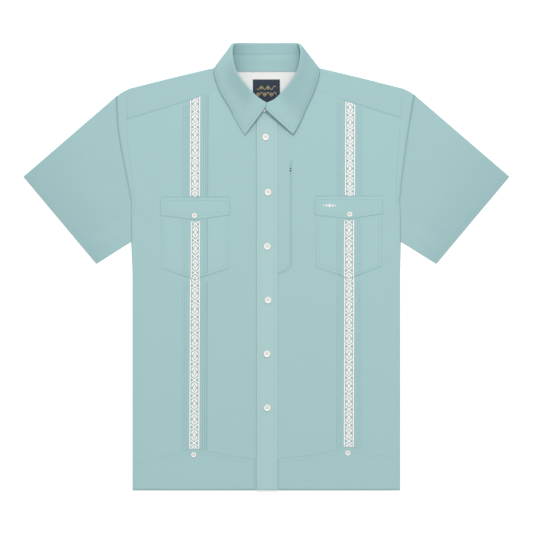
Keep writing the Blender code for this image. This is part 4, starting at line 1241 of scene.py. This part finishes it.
def line_in(points, reach):
    """The line on a surface at this reach in from its first column, read along each row."""
    run = np.cumsum(np.linalg.norm(np.diff(points, axis=1), axis=-1), axis=1)
    run = np.concatenate([np.zeros((len(run), 1)), run], axis=1)
    k = np.clip((run < reach).sum(axis=1) - 1, 0, run.shape[1] - 2)
    rows = np.arange(len(run))
    t = ((reach - run[rows, k]) / (run[rows, k + 1] - run[rows, k]))[:, None]
    return blend(points[rows, k], points[rows, k + 1], t)


def body_stitches():
    """The armhole facings, the yoke seams and the hidden pocket's opening."""
    on_front, runs = raised(0.12), []
    for sign, first, last in ((-1, 258.0, 92.0), (1, 255.0, 98.0)):
        for y in (np.linspace(first, last, 60), np.linspace(304.0, 264.0, 16)):
            x = sign * (np.abs(side_x(sign, y)) - np.interp(y, *FACING))
            runs.append(together(x, y, on_front(x, y)))
        end = abs(float(side_x(sign, 262.0))) - 20.5
        runs.append(path_on([(sign * a, read(YOKE_SEAM, a) + 1.7) for a in (138.0, end)], on_front))
    for gap in (-1.7, 1.7):
        runs.append(path_on([(SLIT_X + gap, SLIT_TOP), (SLIT_X + gap, 3 - gap),
                             (35.2 + gap * 0.7, -6 - gap), (SLIT_FOOT[0], SLIT_FOOT[1] - gap)],
                            on_front))
    stitches("topstitching_body", runs, SEWING)


def trim_stitches():
    """The placket's two edges, and two rows round each pocket and flap."""
    runs = [path_on([(x, HEM_Y + 1), (x, float(front_top(x)) - 1)],
                    lambda x, y: placket_z(x, y) + 0.58)
            for x in (PLACKET_LEFT + 6.2, PLACKET_RIGHT - 6.2)]
    on_flap = (lambda x, y: top_z(x, y) + FLAP_RISE + 0.58)
    for side, s in SIDES.items():
        def on_pocket(x, y):
            off = np.abs(x - band_x(side, y)) - TUCK_START
            inside = (off > 0) & (off < TUCK_PITCH * TUCK_COUNT)
            return top_z(x, y) + 0.80 + read(TUCK_TOP, np.mod(off, TUCK_PITCH)) * inside
        for gap in (NEAR, WIDE):
            x0, x1, top = s["x0"] + gap, s["x1"] - gap, s["flap_side"] - 4
            low = s["corner"] + gap * 1.02 - 0.27 * gap
            runs.append(path_on([(x0, top), (x0, low), (s["band"], s["point"] + gap * 1.02),
                                 (x1, low), (x1, top)], on_pocket))
            x0, x1, top, low = x0 - 0.6, x1 + 0.6, s["flap_top"] - 6, s["flap_side"] + gap
            runs.append(path_on([(x0, top), (x0, low), (s["band"], s["flap_point"] + gap),
                                 (x1, low), (x1, top)], on_flap))
        row = s["flap_top"] - 6.4
        runs.append(path_on([(s["x0"] + 1, row), (s["x1"] - 1, row)], on_flap))
    stitches("topstitching_trim", runs, PALE_SEWING)


def hem_stitches():
    """One row round each cuff, and two under each hem panel's upper edge."""
    runs = []
    way = unit(np.array([-(CUFF[0, 1] - CUFF[1, 1]), CUFF[0, 0] - CUFF[1, 0]]))
    line = blend(*CUFF, np.linspace(0.02, 0.98, 60)[:, None]) + way * 8.0
    for side, table in HEM_PANEL_TOP.items():
        sign = SIDES[side]["sign"]
        x, y = sign * line[:, 0], line[:, 1]
        runs.append(together(x, y, SLEEVE_HIGH[1] + 0.45 + folds(x, y, SLEEVE_FOLDS)))
        edge = sign * 238.4
        for gap in (NEAR, WIDE):
            row = table[np.abs(table[:, 0]) < 238.9] - (0, gap)
            end = [[edge, read(table, edge) - gap]]
            runs.append(path_on(np.concatenate([end, row][::-sign]), raised(0.72)))
    stitches("topstitching_hem", runs, HEM_SEWING)


def collar_stitches(leaf):
    """Two runs: one inside the leaf's free edge all round, one inside each front edge."""
    facing = unit(np.cross(np.gradient(leaf, axis=1), np.gradient(leaf, axis=0)))
    above = leaf + facing * 0.66
    turned = np.transpose(above, (1, 0, 2))
    runs = [line_in(above, 6.4)[6:-6], line_in(turned, 6.2)[5:28],
            line_in(turned[:, ::-1], 6.2)[5:28]]
    stitches("topstitching_collar", runs, SEWING, pitch=2.7, length=2.0)


# ------------------------------------------------------------------ the shirt
make_back()
make_yoke()
make_lining()
make_label()
make_label_ornament()
for side in SIDES:
    make_front(side)
    make_sleeve(side)
    make_pocket(side)
    make_flap(side)
    make_hem_panel(side)
    for part in ("chest", "pocket", "skirt"):
        make_band(side, part)
make_placket()
leaf = make_collar("leaf", (500, 85), 38e3, shares(42.0, 8.0, 22.0, 40.0)[:-1])
make_collar("stand", (440, 23), 8500, shares(120.0, 20.0, 60.0, 110.0))
make_flap_motif()
make_welt()
make_slider()
body_stitches()
trim_stitches()
hem_stitches()
collar_stitches(leaf)

bars = []
SEWN_OFF = [(-3.3, 0.6), (0.9, -1.1), (-0.5, -1.2), (0.8, -0.2), (-1.0, 0.4), (-0.5, 0.9)]
for k, (dx, dy) in enumerate(SEWN_OFF):        # each hangs a little off its hole on its threads
    x, y = BUTTON_X + dx, HOLES_Y[k] + dy
    bars += make_button(f"placket_button_{k + 1}", x, y, float(placket_z(x, y)) + 0.80, 6.2, 2.4,
                        0.55, turn=0.3 * k)
for node, x, y, rise, turn in (
        ("flap_button_right", -129.5, 91.8, FLAP_RISE + 0.5, 0.5),
        ("flap_button_left", 149.9, 94.2, FLAP_RISE + 0.5, 0.5),
        ("hem_button_right", -130.9, -338.5, 0.66, 1.1),
        ("hem_button_left", 146.6, -335.4, 0.66, 1.1)):
    bars += make_button(node, x, y, float(top_z(x, y)) + rise, 4.8, 2.0, 0.30, turn=turn)
bars += make_button("collar_button", -3.6, 283.2, 9.9, 4.4, 1.6, 0.0, tilt=22.0)
tubes("button_threads", bars, 0.34, BUTTON_THREAD)


# ------------------------------------------------------------------ floor, light and camera
def placed(name, data, place=(0, 0, 0)):
    obj = bpy.data.objects.new(name, data)
    obj.location = place
    bpy.context.collection.objects.link(obj)
    return obj


def soft_light(name, place, size, power):
    light = bpy.data.lights.new(name, "AREA")
    light.shape, light.size, light.size_y = "RECTANGLE", size[0], size[1]
    light.energy = power
    placed(name, light, place).rotation_euler = (-Vector(place)).to_track_quat("-Z", "Y").to_euler()


floor = bpy.data.meshes.new("floor")
floor.from_pydata([(-9, -9, -0.0006), (9, -9, -0.0006), (9, 9, -0.0006), (-9, 9, -0.0006)], [],
                  [(0, 1, 2, 3)])
floor.materials.append(floor_paint())
placed("floor", floor)
soft_light("key", (0.25, 2.05, 3.8), (1.5, 1.1), 80.0)
soft_light("fill", (0.3, -0.4, 4.6), (2.6, 2.6), 26.0)

world = bpy.data.worlds.new("studio")
world.use_nodes = True
world.node_tree.nodes["Background"].inputs["Color"].default_value = (1, 1, 1, 1)
world.node_tree.nodes["Background"].inputs["Strength"].default_value = 0.55
bpy.context.scene.world = world
bpy.context.scene.view_settings.view_transform = "Standard"

camera = bpy.data.cameras.new("camera")
camera.lens, camera.sensor_width = 200.0, 36.0
camera.clip_start, camera.clip_end = 0.1, 50.0
bpy.context.scene.camera = placed("camera", camera, (0.00018, 0.00018, 5.334))
